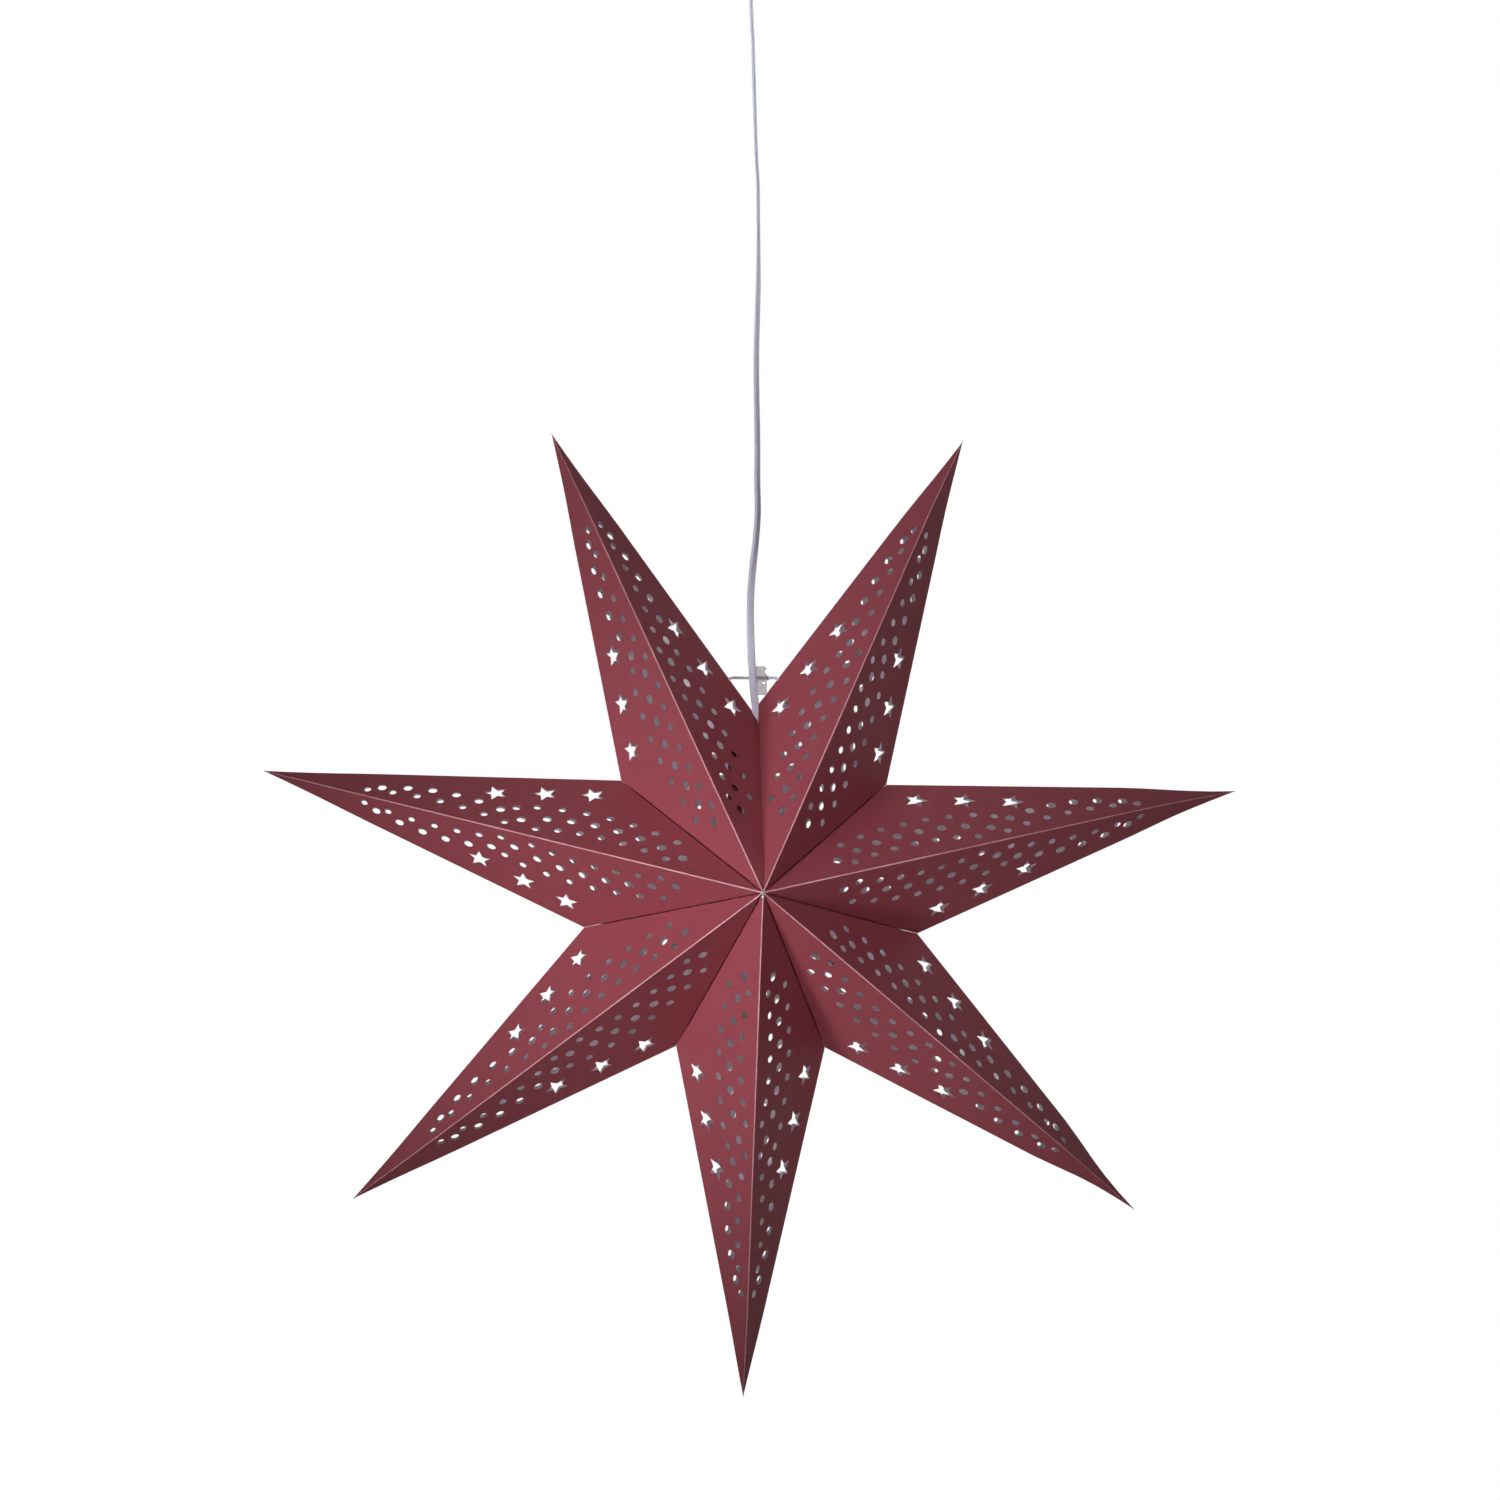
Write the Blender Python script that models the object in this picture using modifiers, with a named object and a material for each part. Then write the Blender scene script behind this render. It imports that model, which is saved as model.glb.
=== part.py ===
"""Paper star lantern: seven folded card rays round a lamp that hangs on a flat cord.

Metres, +Z up. The origin is the middle of the ceiling bracket's flat top, where the
lantern is fixed. The star's front looks along -Y. Each ray is one sheet of card, folded
along two ridges and two side folds, and open where it meets the lamp. All seven turn
about the line between the star's front and back peaks when the star is folded flat.
"""
import math

import bmesh
import bpy
from mathutils import Matrix, Vector

# Driving sizes of the star
STAR_RADIUS = 0.324
NOTCH_RADIUS = 0.1113
STAR_HALF_DEPTH = 0.0972
CARD_THICKNESS = 0.0005
SEAM_GAP = 0.0004
CLEARANCE = 0.0003
WELD_DISTANCE = 0.00001
OVERRUN_SHARE = 1.6
STAR_DROP = 0.640
STAR_SHIFT = 0.0022

# How the seven hand-folded rays sit: turns are degrees clockwise from straight up
RAY_NAMES = ("ray_1", "ray_2", "ray_3", "ray_4", "ray_5", "ray_6", "ray_7")
TIP_TURNS = (-23.71, 24.75, 77.94, 129.55, 181.0, 232.53, 283.9)
TIP_REACH_SHARES = (1.001, 0.997, 0.996, 1.0, 1.003, 1.002, 1.0015)
NOTCH_TURNS = (1.45, 51.15, 104.06, 155.13, 206.65, 258.27, 310.2)
NOTCH_REACH_SHARES = (1.01, 0.998, 0.988, 0.995, 0.998, 1.002, 1.004)
TOP_SEAM_TURN = 1.6
TOP_SEAM_REACH_SHARE = 1.093

# Punched pattern: places are shares of the ridge's length from the tip, and shares of
# the face's height above the ridge at the notch
DOT_RADIUS = 0.00305
DOT_SIDES = 6
STAR_HOLE_RADIUS = 0.0080
STAR_HOLE_WAIST_SHARE = 0.47
STAR_HOLE_POINTS = 5
STAR_HOLE_PLACE_SHARES = ((0.430, 0.446), (0.517, 0.591), (0.602, 0.723))
DOT_PLACE_SHARES = (
    (0.272, 0.226), (0.364, 0.297), (0.551, 0.269), (0.641, 0.336), (0.733, 0.307),
)

# Cord and the parts on it
CORD_RADIUS = 0.0020
NECK_LENGTH = 0.0060
CORD_POINT_STEP = 0.0095
CORD_CUT_RADIUS = 0.0026

# Hanger wire, through a punched hole in the fold of each of the two top rays, its height
# counted from the top of the seam between them
WIRE_RADIUS = 0.00095
WIRE_HOLE_RADIUS = 0.0014
WIRE_HEIGHT = 0.0173
WIRE_SETBACK = 0.0046
WIRE_TAIL_RUN = 0.0075
WIRE_TAIL_DROP = 0.0085
WIRE_BEND_SHARES = (0.6, 0.8)

# Clip of clear plastic, behind the cord, its heights counted from the wire through it
CLIP_LEFT = -0.0012
CLIP_RIGHT = 0.0090
CLIP_RISE = 0.0076
CLIP_FALL = 0.0118
CLIP_FRONT = 0.0006
CLIP_BACK = 0.0074
CLIP_WAIST_DEPTH = 0.0016
CLIP_WAIST_RISE = 0.0041
CLIP_CHAMFER = 0.0018
CLIP_HOLE_RADIUS = 0.0008
CLIP_HOLE_FALL = 0.0033
CLIP_RIB_DEPTH = 0.0005
CLIP_RIB_FALLS = (0.0059, 0.0080, 0.0101)
CLIP_RIB_WIDTH = 0.0009
CLIP_BOSS_RADIUS = 0.0015
CLIP_BOSS_LENGTH = 0.0014

# Lampholder for a small screw cap, its axis under the cord, heights over the star's centre
HOLDER_SHIFT = 0.0022
HOLDER_TOP = 0.0840
HOLDER_RADIUS = 0.0135
HOLDER_WALL = 0.0015
HOLDER_NOSE_RADIUS = 0.0065
HOLDER_NOSE_LENGTH = 0.0025
HOLDER_TAPER_LENGTH = 0.0120
HOLDER_CAP_LENGTH = 0.0220
HOLDER_SHELL_LENGTH = 0.0360
HOLDER_LIP = 0.0012
HOLDER_LIP_LENGTH = 0.0030
CORE_THICKNESS = 0.0090
CORE_COLLAR_LENGTH = 0.0190
SLEEVE_INNER_RADIUS = 0.0072
SLEEVE_WALL = 0.0004
SLEEVE_LENGTH = 0.0200
TONGUE_RADIUS = 0.0024
TONGUE_THICKNESS = 0.0010

# Bulb with a small screw cap and a round glass
BULB_CAP_RADIUS = 0.0068
BULB_CAP_LENGTH = 0.0230
BULB_CAP_TAPER = 0.0030
BULB_BUTTON_RADIUS = 0.0021
BULB_BUTTON_HEIGHT = 0.0012
GLASS_RADIUS = 0.0225
GLASS_WALL = 0.0010
GLASS_NECK_LENGTH = 0.0280
GLASS_MEETING_TURN = 50.0
GLASS_NECK_SHARES = ((1.0, 0.0), (1.15, 0.14), (1.75, 0.32))

# Ceiling fitting
BRACKET_SPAN = 0.0660
BRACKET_WIDTH = 0.0160
BRACKET_THICKNESS = 0.0015
BRACKET_EAR = 0.0110
BRACKET_HOLE_RADIUS = 0.0022
BRACKET_HOLE_SHIFT = 0.0220
CUP_WALL = 0.0018
CUP_HEIGHT = 0.0440
CUP_BEND_RADIUS = 0.0160
CUP_SCREW_RADIUS = 0.0014
CUP_SCREW_DROP = 0.0070
CUP_SCREW_HEAD_RADIUS = 0.0030
CUP_SCREW_HEAD_THICKNESS = 0.0018
CUP_SCREW_END = 0.0030
GRIP_TUBE_RADIUS = 0.0050
GRIP_TUBE_LENGTH = 0.0150
GRIP_FLANGE_RADIUS = 0.0090
GRIP_FLANGE_THICKNESS = 0.0030
GRIP_MOUTH_RADIUS = 0.0052
GRIP_MOUTH_LENGTH = 0.0060
NUT_RADIUS = 0.0085
NUT_THICKNESS = 0.0040
BLOCK_LENGTH = 0.0220
BLOCK_WIDTH = 0.0140
BLOCK_HEIGHT = 0.0110
BLOCK_BEVEL = 0.0012

# Cord route from the pivot down to the lampholder: across and height, from the star's
# centre, in metres, chosen by hand along the photographed waves
CORD_ROUTE = (
    (-0.0017, 0.5776), (-0.0005, 0.5517), (0.0004, 0.5258), (0.0011, 0.4999),
    (0.0019, 0.4760), (0.0029, 0.4560), (0.0033, 0.4223), (0.0033, 0.3964),
    (0.0026, 0.3705), (0.0020, 0.3446), (0.0022, 0.3187), (0.0026, 0.2928),
    (0.0026, 0.2669), (0.0029, 0.2460), (0.0017, 0.2281), (-0.0002, 0.2110),
    (-0.0016, 0.1930), (-0.0019, 0.1763), (-0.0010, 0.1504), (0.0004, 0.1310),
    (0.0017, 0.1170), (0.0021, 0.1040),
)

CARD_RED = (0.318, 0.045, 0.062, 1.0)
PVC_WHITE = (0.72, 0.72, 0.76, 1.0)
CLEAR_PLASTIC = (0.62, 0.60, 0.60, 1.0)
HOLDER_WHITE = (0.80, 0.79, 0.76, 1.0)
GLASS_OPAL = (0.88, 0.87, 0.83, 1.0)
STEEL_GREY = (0.55, 0.55, 0.54, 1.0)
BRASS_YELLOW = (0.66, 0.50, 0.24, 1.0)

STEPS = 24
FINE_STEPS = 28


def clear_scene():
    """Empty the scene and make the two collections."""
    for thing in list(bpy.data.objects):
        bpy.data.objects.remove(thing, do_unlink=True)
    made = []
    for name in ("paper_star_lantern", "cutters"):
        group = bpy.data.collections.new(name)
        bpy.context.scene.collection.children.link(group)
        made.append(group)
    return made


PARTS, CUTTERS = clear_scene()


def material(name, colour, roughness, metallic=0.0):
    """A plain material of one colour."""
    made = bpy.data.materials.new(name)
    made.use_nodes = True
    shader = made.node_tree.nodes["Principled BSDF"]
    shader.inputs["Base Color"].default_value = colour
    shader.inputs["Roughness"].default_value = roughness
    shader.inputs["Metallic"].default_value = metallic
    made.diffuse_color = colour
    return made


def place(name, data, parent, look=None, at=(0.0, 0.0, 0.0), turn=(0.0, 0.0, 0.0)):
    """Link an object as a part, or as a cutter when it has no material."""
    made = bpy.data.objects.new(name, data)
    made.parent = parent
    made.location = at
    made.rotation_euler = turn
    if look is None:
        CUTTERS.objects.link(made)
        made.hide_render = True
        made.display_type = "WIRE"
    else:
        PARTS.objects.link(made)
        data.materials.append(look)
    return made


def marker(name, at, parent=None, turn=(0.0, 0.0, 0.0)):
    """An empty that carries the pieces of one joint."""
    made = bpy.data.objects.new(name, None)
    made.location = at
    made.rotation_euler = turn
    made.parent = parent
    PARTS.objects.link(made)
    return made


def cut(target, cutter, operation="DIFFERENCE"):
    """Cut, join or keep the common part of two solids."""
    step = target.modifiers.new(cutter.name, "BOOLEAN")
    step.operation = operation
    step.object = cutter
    step.solver = "EXACT"
    return step


def hull_mesh(name, points):
    """The convex solid on a few corner points."""
    shape = bmesh.new()
    for point in points:
        shape.verts.new(point)
    bmesh.ops.convex_hull(shape, input=shape.verts)
    bmesh.ops.recalc_face_normals(shape, faces=shape.faces)
    mesh = bpy.data.meshes.new(name)
    shape.to_mesh(mesh)
    shape.free()
    return mesh


def flat_mesh(name, outlines, half_depth):
    """Closed prisms on flat outlines in XY, reaching half_depth to each side."""
    curve = bpy.data.curves.new(name, "CURVE")
    curve.dimensions = "2D"
    curve.fill_mode = "BOTH"
    curve.extrude = half_depth
    for outline in outlines:
        spline = curve.splines.new("POLY")
        spline.points.add(len(outline) - 1)
        for point, (across, up) in zip(spline.points, outline):
            point.co = (across, up, 0.0, 1.0)
        spline.use_cyclic_u = True
    return solid_from_curve(name, curve)


def solid_from_curve(name, curve):
    """The welded mesh of a curve."""
    guide = bpy.data.objects.new(name, curve)
    CUTTERS.objects.link(guide)
    bpy.context.view_layer.update()
    mesh = bpy.data.meshes.new_from_object(guide.evaluated_get(bpy.context.evaluated_depsgraph_get()))
    bpy.data.objects.remove(guide, do_unlink=True)
    shape = bmesh.new()
    shape.from_mesh(mesh)
    bmesh.ops.remove_doubles(shape, verts=shape.verts, dist=WELD_DISTANCE)
    bmesh.ops.recalc_face_normals(shape, faces=shape.faces)
    shape.to_mesh(mesh)
    shape.free()
    mesh.name = name
    return mesh


def tube_curve(name, points, radius, resolution=2):
    """A round tube with flat ends through the given points."""
    curve = bpy.data.curves.new(name, "CURVE")
    curve.dimensions = "3D"
    curve.bevel_depth = radius
    curve.bevel_resolution = resolution
    curve.use_fill_caps = True
    spline = curve.splines.new("POLY")
    spline.points.add(len(points) - 1)
    for point, place_of in zip(spline.points, points):
        point.co = (*place_of, 1.0)
    return curve


def smooth_route(corners, step):
    """Points at an even step on a smooth curve through the given corners."""
    ends = [corners[0] * 2 - corners[1], *corners, corners[-1] * 2 - corners[-2]]
    fine = []
    for before, start, end, after in zip(ends, ends[1:], ends[2:], ends[3:]):
        parts = max(2, math.ceil((end - start).length / step * 4))
        for index in range(parts):
            t = index / parts
            fine.append(
                0.5 * (2 * start + (end - before) * t
                       + (2 * before - 5 * start + 4 * end - after) * t ** 2
                       + (3 * start - before - 3 * end + after) * t ** 3)
            )
    fine.append(corners[-1])
    length = sum((b - a).length for a, b in zip(fine, fine[1:]))
    count = math.ceil(length / step)
    even = [fine[0]]
    walked = 0.0
    for a, b in zip(fine, fine[1:]):
        stretch = (b - a).length
        while len(even) < count and walked + stretch >= length * len(even) / count:
            even.append(a.lerp(b, (length * len(even) / count - walked) / stretch))
        walked += stretch
    even.append(fine[-1])
    return even


def turned(name, profile, parent, look=None, at=(0.0, 0.0, 0.0), turn=(0.0, 0.0, 0.0),
           closed=False, steps=STEPS):
    """A turned piece from (radius, height) points, top to bottom down its outer side."""
    mesh = bpy.data.meshes.new(name)
    shape = bmesh.new()
    ring = [shape.verts.new((radius, 0.0, height)) for radius, height in profile]
    for a, b in zip(ring, ring[1:]):
        shape.edges.new((a, b))
    if closed:
        shape.edges.new((ring[-1], ring[0]))
    shape.to_mesh(mesh)
    shape.free()
    made = place(name, mesh, parent, look, at, turn)
    screw = made.modifiers.new("turn", "SCREW")
    screw.steps = steps
    screw.render_steps = steps
    screw.use_merge_vertices = True
    screw.merge_threshold = WELD_DISTANCE
    screw.use_smooth_shade = True
    return made


def polar(turn, reach):
    """A point of the star's middle plane, clockwise from straight up."""
    return Vector((math.sin(turn) * reach, 0.0, math.cos(turn) * reach))


def front_peak():
    return Vector((0.0, -STAR_HALF_DEPTH, 0.0))


def notch_of_ray(index, side):
    """Turn and reach of the notch on one side of a ray; the top seam's two differ."""
    if index == 1 and side < 0:
        return TOP_SEAM_TURN, NOTCH_RADIUS * TOP_SEAM_REACH_SHARE
    at = (index if side > 0 else index - 1) % len(RAY_NAMES)
    return NOTCH_TURNS[at], NOTCH_RADIUS * NOTCH_REACH_SHARES[at]


def ray_corners(index):
    """Tip, left notch and right notch in the ray's own frame, its tip straight up."""
    tip = Vector((0.0, 0.0, STAR_RADIUS * TIP_REACH_SHARES[index]))
    notches = []
    for side in (-1, 1):
        turn, reach = notch_of_ray(index, side)
        notches.append(polar(math.radians(turn - TIP_TURNS[index]), reach))
    return tip, *notches


def inset_tip(tip, left, right):
    """Where the inner sides of the four panels meet, one card's thickness in."""
    peak = front_peak()
    rows = []
    shares = []
    for notch in (left, right):
        normal = (notch - tip).cross(peak - tip).normalized()
        if normal.dot(-tip) < 0:
            normal = -normal
        rows.append(normal)
        shares.append(normal.dot(tip) + CARD_THICKNESS)
    rows.append(Vector((0.0, 1.0, 0.0)))
    shares.append(0.0)
    return Matrix(rows).inverted() @ Vector(shares)


def ray_pyramid(name, tip, apex, left, right):
    """A long pyramid along the ray's two ridges and two side folds, past the axis."""
    peak = front_peak()
    back = Vector((0.0, STAR_HALF_DEPTH, 0.0))
    reach = OVERRUN_SHARE * STAR_RADIUS
    ways = [(corner - tip).normalized() for corner in (peak, right, back, left)]
    return hull_mesh(name, [apex, *(apex + way * reach for way in ways)])


def ray_sector(name, left, right):
    """The wedge of room round the star's axis that one ray has between its seams."""
    a = math.atan2(left.x, left.z)
    b = math.atan2(right.x, right.z)
    inward_left = Vector((math.cos(a), -math.sin(a)))
    inward_right = Vector((-math.cos(b), math.sin(b)))
    sides = Matrix((inward_left, inward_right))
    apex = sides.inverted() @ Vector((SEAM_GAP / 2, SEAM_GAP / 2))
    far = OVERRUN_SHARE * STAR_RADIUS
    left_far = apex + Vector((math.sin(a), math.cos(a))) * far
    right_far = apex + Vector((math.sin(b), math.cos(b))) * far
    outline = [tuple(corner) for corner in (apex, right_far, left_far)]
    return flat_mesh(name, [outline], OVERRUN_SHARE * STAR_HALF_DEPTH)


def star_outline(centre, point_way):
    """A five-pointed star round a centre, one point along the given way."""
    start = math.atan2(point_way.y, point_way.x)
    corners = []
    for index in range(2 * STAR_HOLE_POINTS):
        reach = STAR_HOLE_RADIUS * (STAR_HOLE_WAIST_SHARE if index % 2 else 1.0)
        turn = start + math.pi * index / STAR_HOLE_POINTS
        corners.append((centre.x + reach * math.cos(turn), centre.y + reach * math.sin(turn)))
    return corners


def dot_outline(centre):
    """A round hole as a polygon of the same area."""
    area_share = DOT_SIDES / (2 * math.pi) * math.sin(2 * math.pi / DOT_SIDES)
    reach = DOT_RADIUS / math.sqrt(area_share)
    turns = [2 * math.pi * index / DOT_SIDES for index in range(DOT_SIDES)]
    return [(centre.x + reach * math.cos(t), centre.y + reach * math.sin(t)) for t in turns]


def punched_panel(name, tip, notch, peak):
    """The punches for one panel, across its face."""
    along = (peak - tip).normalized()
    rise = (notch - tip) - (notch - tip).dot(along) * along
    across = rise.normalized()
    face_length = (peak - tip).length
    face_height = rise.length
    fold = notch - tip
    fold_way = -Vector((fold.dot(along), fold.dot(across)))
    outlines = []
    for far, up in STAR_HOLE_PLACE_SHARES:
        outlines.append(star_outline(Vector((far * face_length, up * face_height)), fold_way))
    for far, up in DOT_PLACE_SHARES:
        outlines.append(dot_outline(Vector((far * face_length, up * face_height))))
    mesh = flat_mesh(name, outlines, OVERRUN_SHARE * CARD_THICKNESS)
    frame = Matrix((along, across, along.cross(across))).transposed().to_4x4()
    mesh.transform(Matrix.Translation(tip) @ frame)
    return mesh


def make_ray(index, centre, card):
    """One ray of the star: a sheet of card with four panels, punched."""
    name = RAY_NAMES[index]
    tip, left, right = ray_corners(index)
    turn = (0.0, math.radians(TIP_TURNS[index]), 0.0)
    ray = place(name, ray_pyramid(name, tip, tip, left, right), centre, card, turn=turn)
    inner = ray_pyramid(name + "_inside", tip, inset_tip(tip, left, right), left, right)
    cut(ray, place(name + "_inside", inner, ray))
    sector = ray_sector(name + "_sector", left, right)
    cut(ray, place(name + "_sector", sector, ray, turn=(math.pi / 2, 0.0, 0.0)), "INTERSECT")
    for side, notch in (("left", left), ("right", right)):
        for face, peak in (("front", front_peak()), ("back", -front_peak())):
            label = f"{name}_{face}_{side}_punches"
            cut(ray, place(label, punched_panel(label, tip, notch, peak), ray))
    return ray


def wire_level():
    """Height of the hanger wire over the star's centre."""
    return NOTCH_RADIUS * TOP_SEAM_REACH_SHARE * math.cos(math.radians(TOP_SEAM_TURN)) + WIRE_HEIGHT


def fold_point(index, side, height):
    """Where a top ray's side fold crosses a height over the star's centre."""
    tip = polar(math.radians(TIP_TURNS[index]), STAR_RADIUS * TIP_REACH_SHARES[index])
    turn, reach = notch_of_ray(index, side)
    notch = polar(math.radians(turn), reach)
    share = (height - notch.z) / (tip.z - notch.z)
    return notch.lerp(tip, share)


def wire_points():
    """The hanger wire: from inside ray 1, out, behind the cord and into ray 2."""
    level = wire_level()
    left = fold_point(0, 1, level - WIRE_RADIUS)
    right = fold_point(1, -1, level - WIRE_RADIUS)
    tail = Vector((WIRE_TAIL_RUN, 0.0, -WIRE_TAIL_DROP))
    tail_left = Vector((-tail.x, 0.0, tail.z))
    bend_share, far_bend_share = WIRE_BEND_SHARES
    corners = [
        left + tail_left,
        left,
        Vector((left.x * bend_share, WIRE_SETBACK * bend_share, level)),
        Vector((CLIP_LEFT - CLIP_CHAMFER, WIRE_SETBACK, level)),
        Vector((CLIP_RIGHT, WIRE_SETBACK, level)),
        Vector((right.x * far_bend_share, WIRE_SETBACK * bend_share, level)),
        right,
        right + tail,
    ]
    return smooth_route(corners, 2.5 * WIRE_RADIUS)


def make_wire(centre, rays, plastic):
    """The wire, and the punched holes that it goes through in the two top rays."""
    points = wire_points()
    place("hanger_wire", tube_curve("hanger_wire", points, WIRE_RADIUS), centre, plastic)
    for ray, inside in ((rays[0], points[:7]), (rays[1], points[-7:])):
        name = ray.name + "_wire_hole"
        mesh = solid_from_curve(name, tube_curve(name, inside, WIRE_HOLE_RADIUS))
        cut(ray, place(name, mesh, centre))
    return points


def cord_points():
    """Points of the cord from its top end, under the neck, to the lampholder."""
    top = Vector((-STAR_SHIFT, 0.0, STAR_DROP + cord_top()))
    end = Vector((HOLDER_SHIFT, 0.0, HOLDER_TOP - HOLDER_CAP_LENGTH + CLEARANCE))
    nose = Vector((HOLDER_SHIFT, 0.0, HOLDER_TOP + HOLDER_NOSE_LENGTH))
    straight = Vector((0.0, 0.0, -2 * CORD_RADIUS))
    middle = [Vector((across, 0.0, height)) for across, height in CORD_ROUTE]
    return smooth_route([top, top + straight, *middle, nose, end], CORD_POINT_STEP)


def pivot_height():
    """Height of the pivot where the cord leaves the grip, from the ceiling."""
    return -(CUP_HEIGHT + GRIP_FLANGE_THICKNESS - CORD_RADIUS)


def cord_top():
    return pivot_height() - NECK_LENGTH - CORD_RADIUS - CLEARANCE


def make_cord(centre, swing, look):
    """The hanging cord and its short neck, which bends the other way."""
    points = cord_points()
    place("cord", tube_curve("cord", points, CORD_RADIUS), centre, look)
    arc = [math.pi / 2 * index / 4 for index in range(5)]
    top = [(CORD_RADIUS * math.sin(a), CORD_RADIUS * math.cos(a)) for a in arc]
    bottom = [(radius, -NECK_LENGTH - height) for radius, height in reversed(top)]
    turned("cord_neck", top + bottom, swing, look, steps=12)
    return points


def cord_cutter(name, points, radius, low, high, parent):
    """Room for the cord over one stretch of its height."""
    stretch = [point for point in points if low < point.z < high]
    mesh = solid_from_curve(name, tube_curve(name, stretch, radius))
    return place(name, mesh, parent)


def make_clip(centre, cord, wire, look):
    """The clip: a waisted block with a groove for the cord and a bore for the wire."""
    level = wire_level()
    top = level + CLIP_RISE
    bottom = level - CLIP_FALL
    outline = [
        (CLIP_LEFT, bottom),
        (CLIP_RIGHT - CLIP_CHAMFER, bottom),
        (CLIP_RIGHT, bottom + CLIP_CHAMFER),
        (CLIP_RIGHT, level + CLIP_BOSS_RADIUS),
        (CLIP_RIGHT - CLIP_WAIST_DEPTH, level + CLIP_WAIST_RISE),
        (CLIP_RIGHT, top - CLIP_CHAMFER),
        (CLIP_RIGHT - CLIP_CHAMFER, top),
        (CLIP_LEFT, top),
    ]
    half = (CLIP_BACK - CLIP_FRONT) / 2
    middle = (CLIP_BACK + CLIP_FRONT) / 2
    mesh = flat_mesh("cord_clip", [outline], half)
    clip = place("cord_clip", mesh, centre, look, (0.0, middle, 0.0), (math.pi / 2, 0.0, 0.0))
    boss_from = Vector((CLIP_RIGHT - CLIP_WAIST_DEPTH, WIRE_SETBACK, level))
    boss_to = Vector((CLIP_RIGHT + CLIP_BOSS_LENGTH, WIRE_SETBACK, level))
    boss_curve = tube_curve("clip_boss", [boss_from, boss_to], CLIP_BOSS_RADIUS)
    cut(clip, place("clip_boss", solid_from_curve("clip_boss", boss_curve), centre), "UNION")
    low = bottom - 2 * CORD_POINT_STEP
    high = top + 2 * CORD_POINT_STEP
    cut(clip, cord_cutter("clip_groove", cord, CORD_RADIUS + CLEARANCE, low, high, centre))
    near = [point for point in wire if abs(point.x) < CLIP_RIGHT + 3 * CLIP_BOSS_LENGTH]
    bore = tube_curve("clip_bore", near, WIRE_RADIUS + CLEARANCE)
    cut(clip, place("clip_bore", solid_from_curve("clip_bore", bore), centre))
    hole_at = Vector(((CLIP_RIGHT + WIRE_SETBACK) / 2, 0.0, level - CLIP_HOLE_FALL))
    hole_ends = [hole_at + Vector((0.0, reach, 0.0)) for reach in (-CLIP_BACK, 2 * CLIP_BACK)]
    hole = tube_curve("clip_hole", hole_ends, CLIP_HOLE_RADIUS)
    cut(clip, place("clip_hole", solid_from_curve("clip_hole", hole), centre))
    ribs = []
    for fall in CLIP_RIB_FALLS:
        low = level - fall - CLIP_RIB_WIDTH / 2
        high = level - fall + CLIP_RIB_WIDTH / 2
        ribs.append([
            (WIRE_SETBACK / 2, low), (2 * CLIP_RIGHT, low),
            (2 * CLIP_RIGHT, high), (WIRE_SETBACK / 2, high),
        ])
    grooves = flat_mesh("clip_ribs", ribs, CLIP_RIB_DEPTH)
    cut(clip, place("clip_ribs", grooves, centre, at=(0.0, CLIP_FRONT, 0.0), turn=(math.pi / 2, 0.0, 0.0)))
    return clip


def make_lampholder(lamp, plastic, brass):
    """The lampholder's cap, shell, core, screw sleeve and spring tongue."""
    outer = HOLDER_RADIUS
    inner = HOLDER_RADIUS - HOLDER_WALL
    top = HOLDER_TOP
    taper = top - HOLDER_NOSE_LENGTH
    shoulder = taper - HOLDER_TAPER_LENGTH
    seam = top - HOLDER_CAP_LENGTH
    bore = CORD_RADIUS + CLEARANCE
    cap = [
        (HOLDER_NOSE_RADIUS, top), (HOLDER_NOSE_RADIUS, taper), (outer, shoulder), (outer, seam),
        (inner, seam), (inner, shoulder - HOLDER_WALL), (HOLDER_NOSE_RADIUS, taper - HOLDER_WALL),
        (bore, taper - HOLDER_WALL), (bore, top),
    ]
    turned("holder_cap", cap, lamp, plastic, closed=True)
    start = seam - CLEARANCE
    mouth = start - HOLDER_SHELL_LENGTH
    lip = outer + HOLDER_LIP
    shell = [
        (outer, start), (outer, mouth + HOLDER_LIP_LENGTH), (lip, mouth + HOLDER_LIP_LENGTH),
        (lip, mouth), (inner, mouth), (inner, start),
    ]
    turned("holder_shell", shell, lamp, plastic, closed=True)
    core_radius = inner - CLEARANCE
    core_bottom = start - CORE_THICKNESS
    sleeve_outer = SLEEVE_INNER_RADIUS + SLEEVE_WALL
    core = [
        (0.0, start), (core_radius, start), (core_radius, core_bottom - CORE_COLLAR_LENGTH),
        (sleeve_outer + CLEARANCE, core_bottom - CORE_COLLAR_LENGTH),
        (sleeve_outer + CLEARANCE, core_bottom), (0.0, core_bottom),
    ]
    turned("holder_core", core, lamp, plastic)
    sleeve_top = core_bottom - CLEARANCE
    sleeve = [
        (sleeve_outer, sleeve_top), (sleeve_outer, sleeve_top - SLEEVE_LENGTH),
        (SLEEVE_INNER_RADIUS, sleeve_top - SLEEVE_LENGTH), (SLEEVE_INNER_RADIUS, sleeve_top),
    ]
    turned("screw_sleeve", sleeve, lamp, brass, closed=True)
    tongue = [
        (0.0, sleeve_top), (TONGUE_RADIUS, sleeve_top),
        (TONGUE_RADIUS, sleeve_top - TONGUE_THICKNESS), (0.0, sleeve_top - TONGUE_THICKNESS),
    ]
    turned("contact_tongue", tongue, lamp, brass, steps=16)
    return sleeve_top - TONGUE_THICKNESS - CLEARANCE


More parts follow.
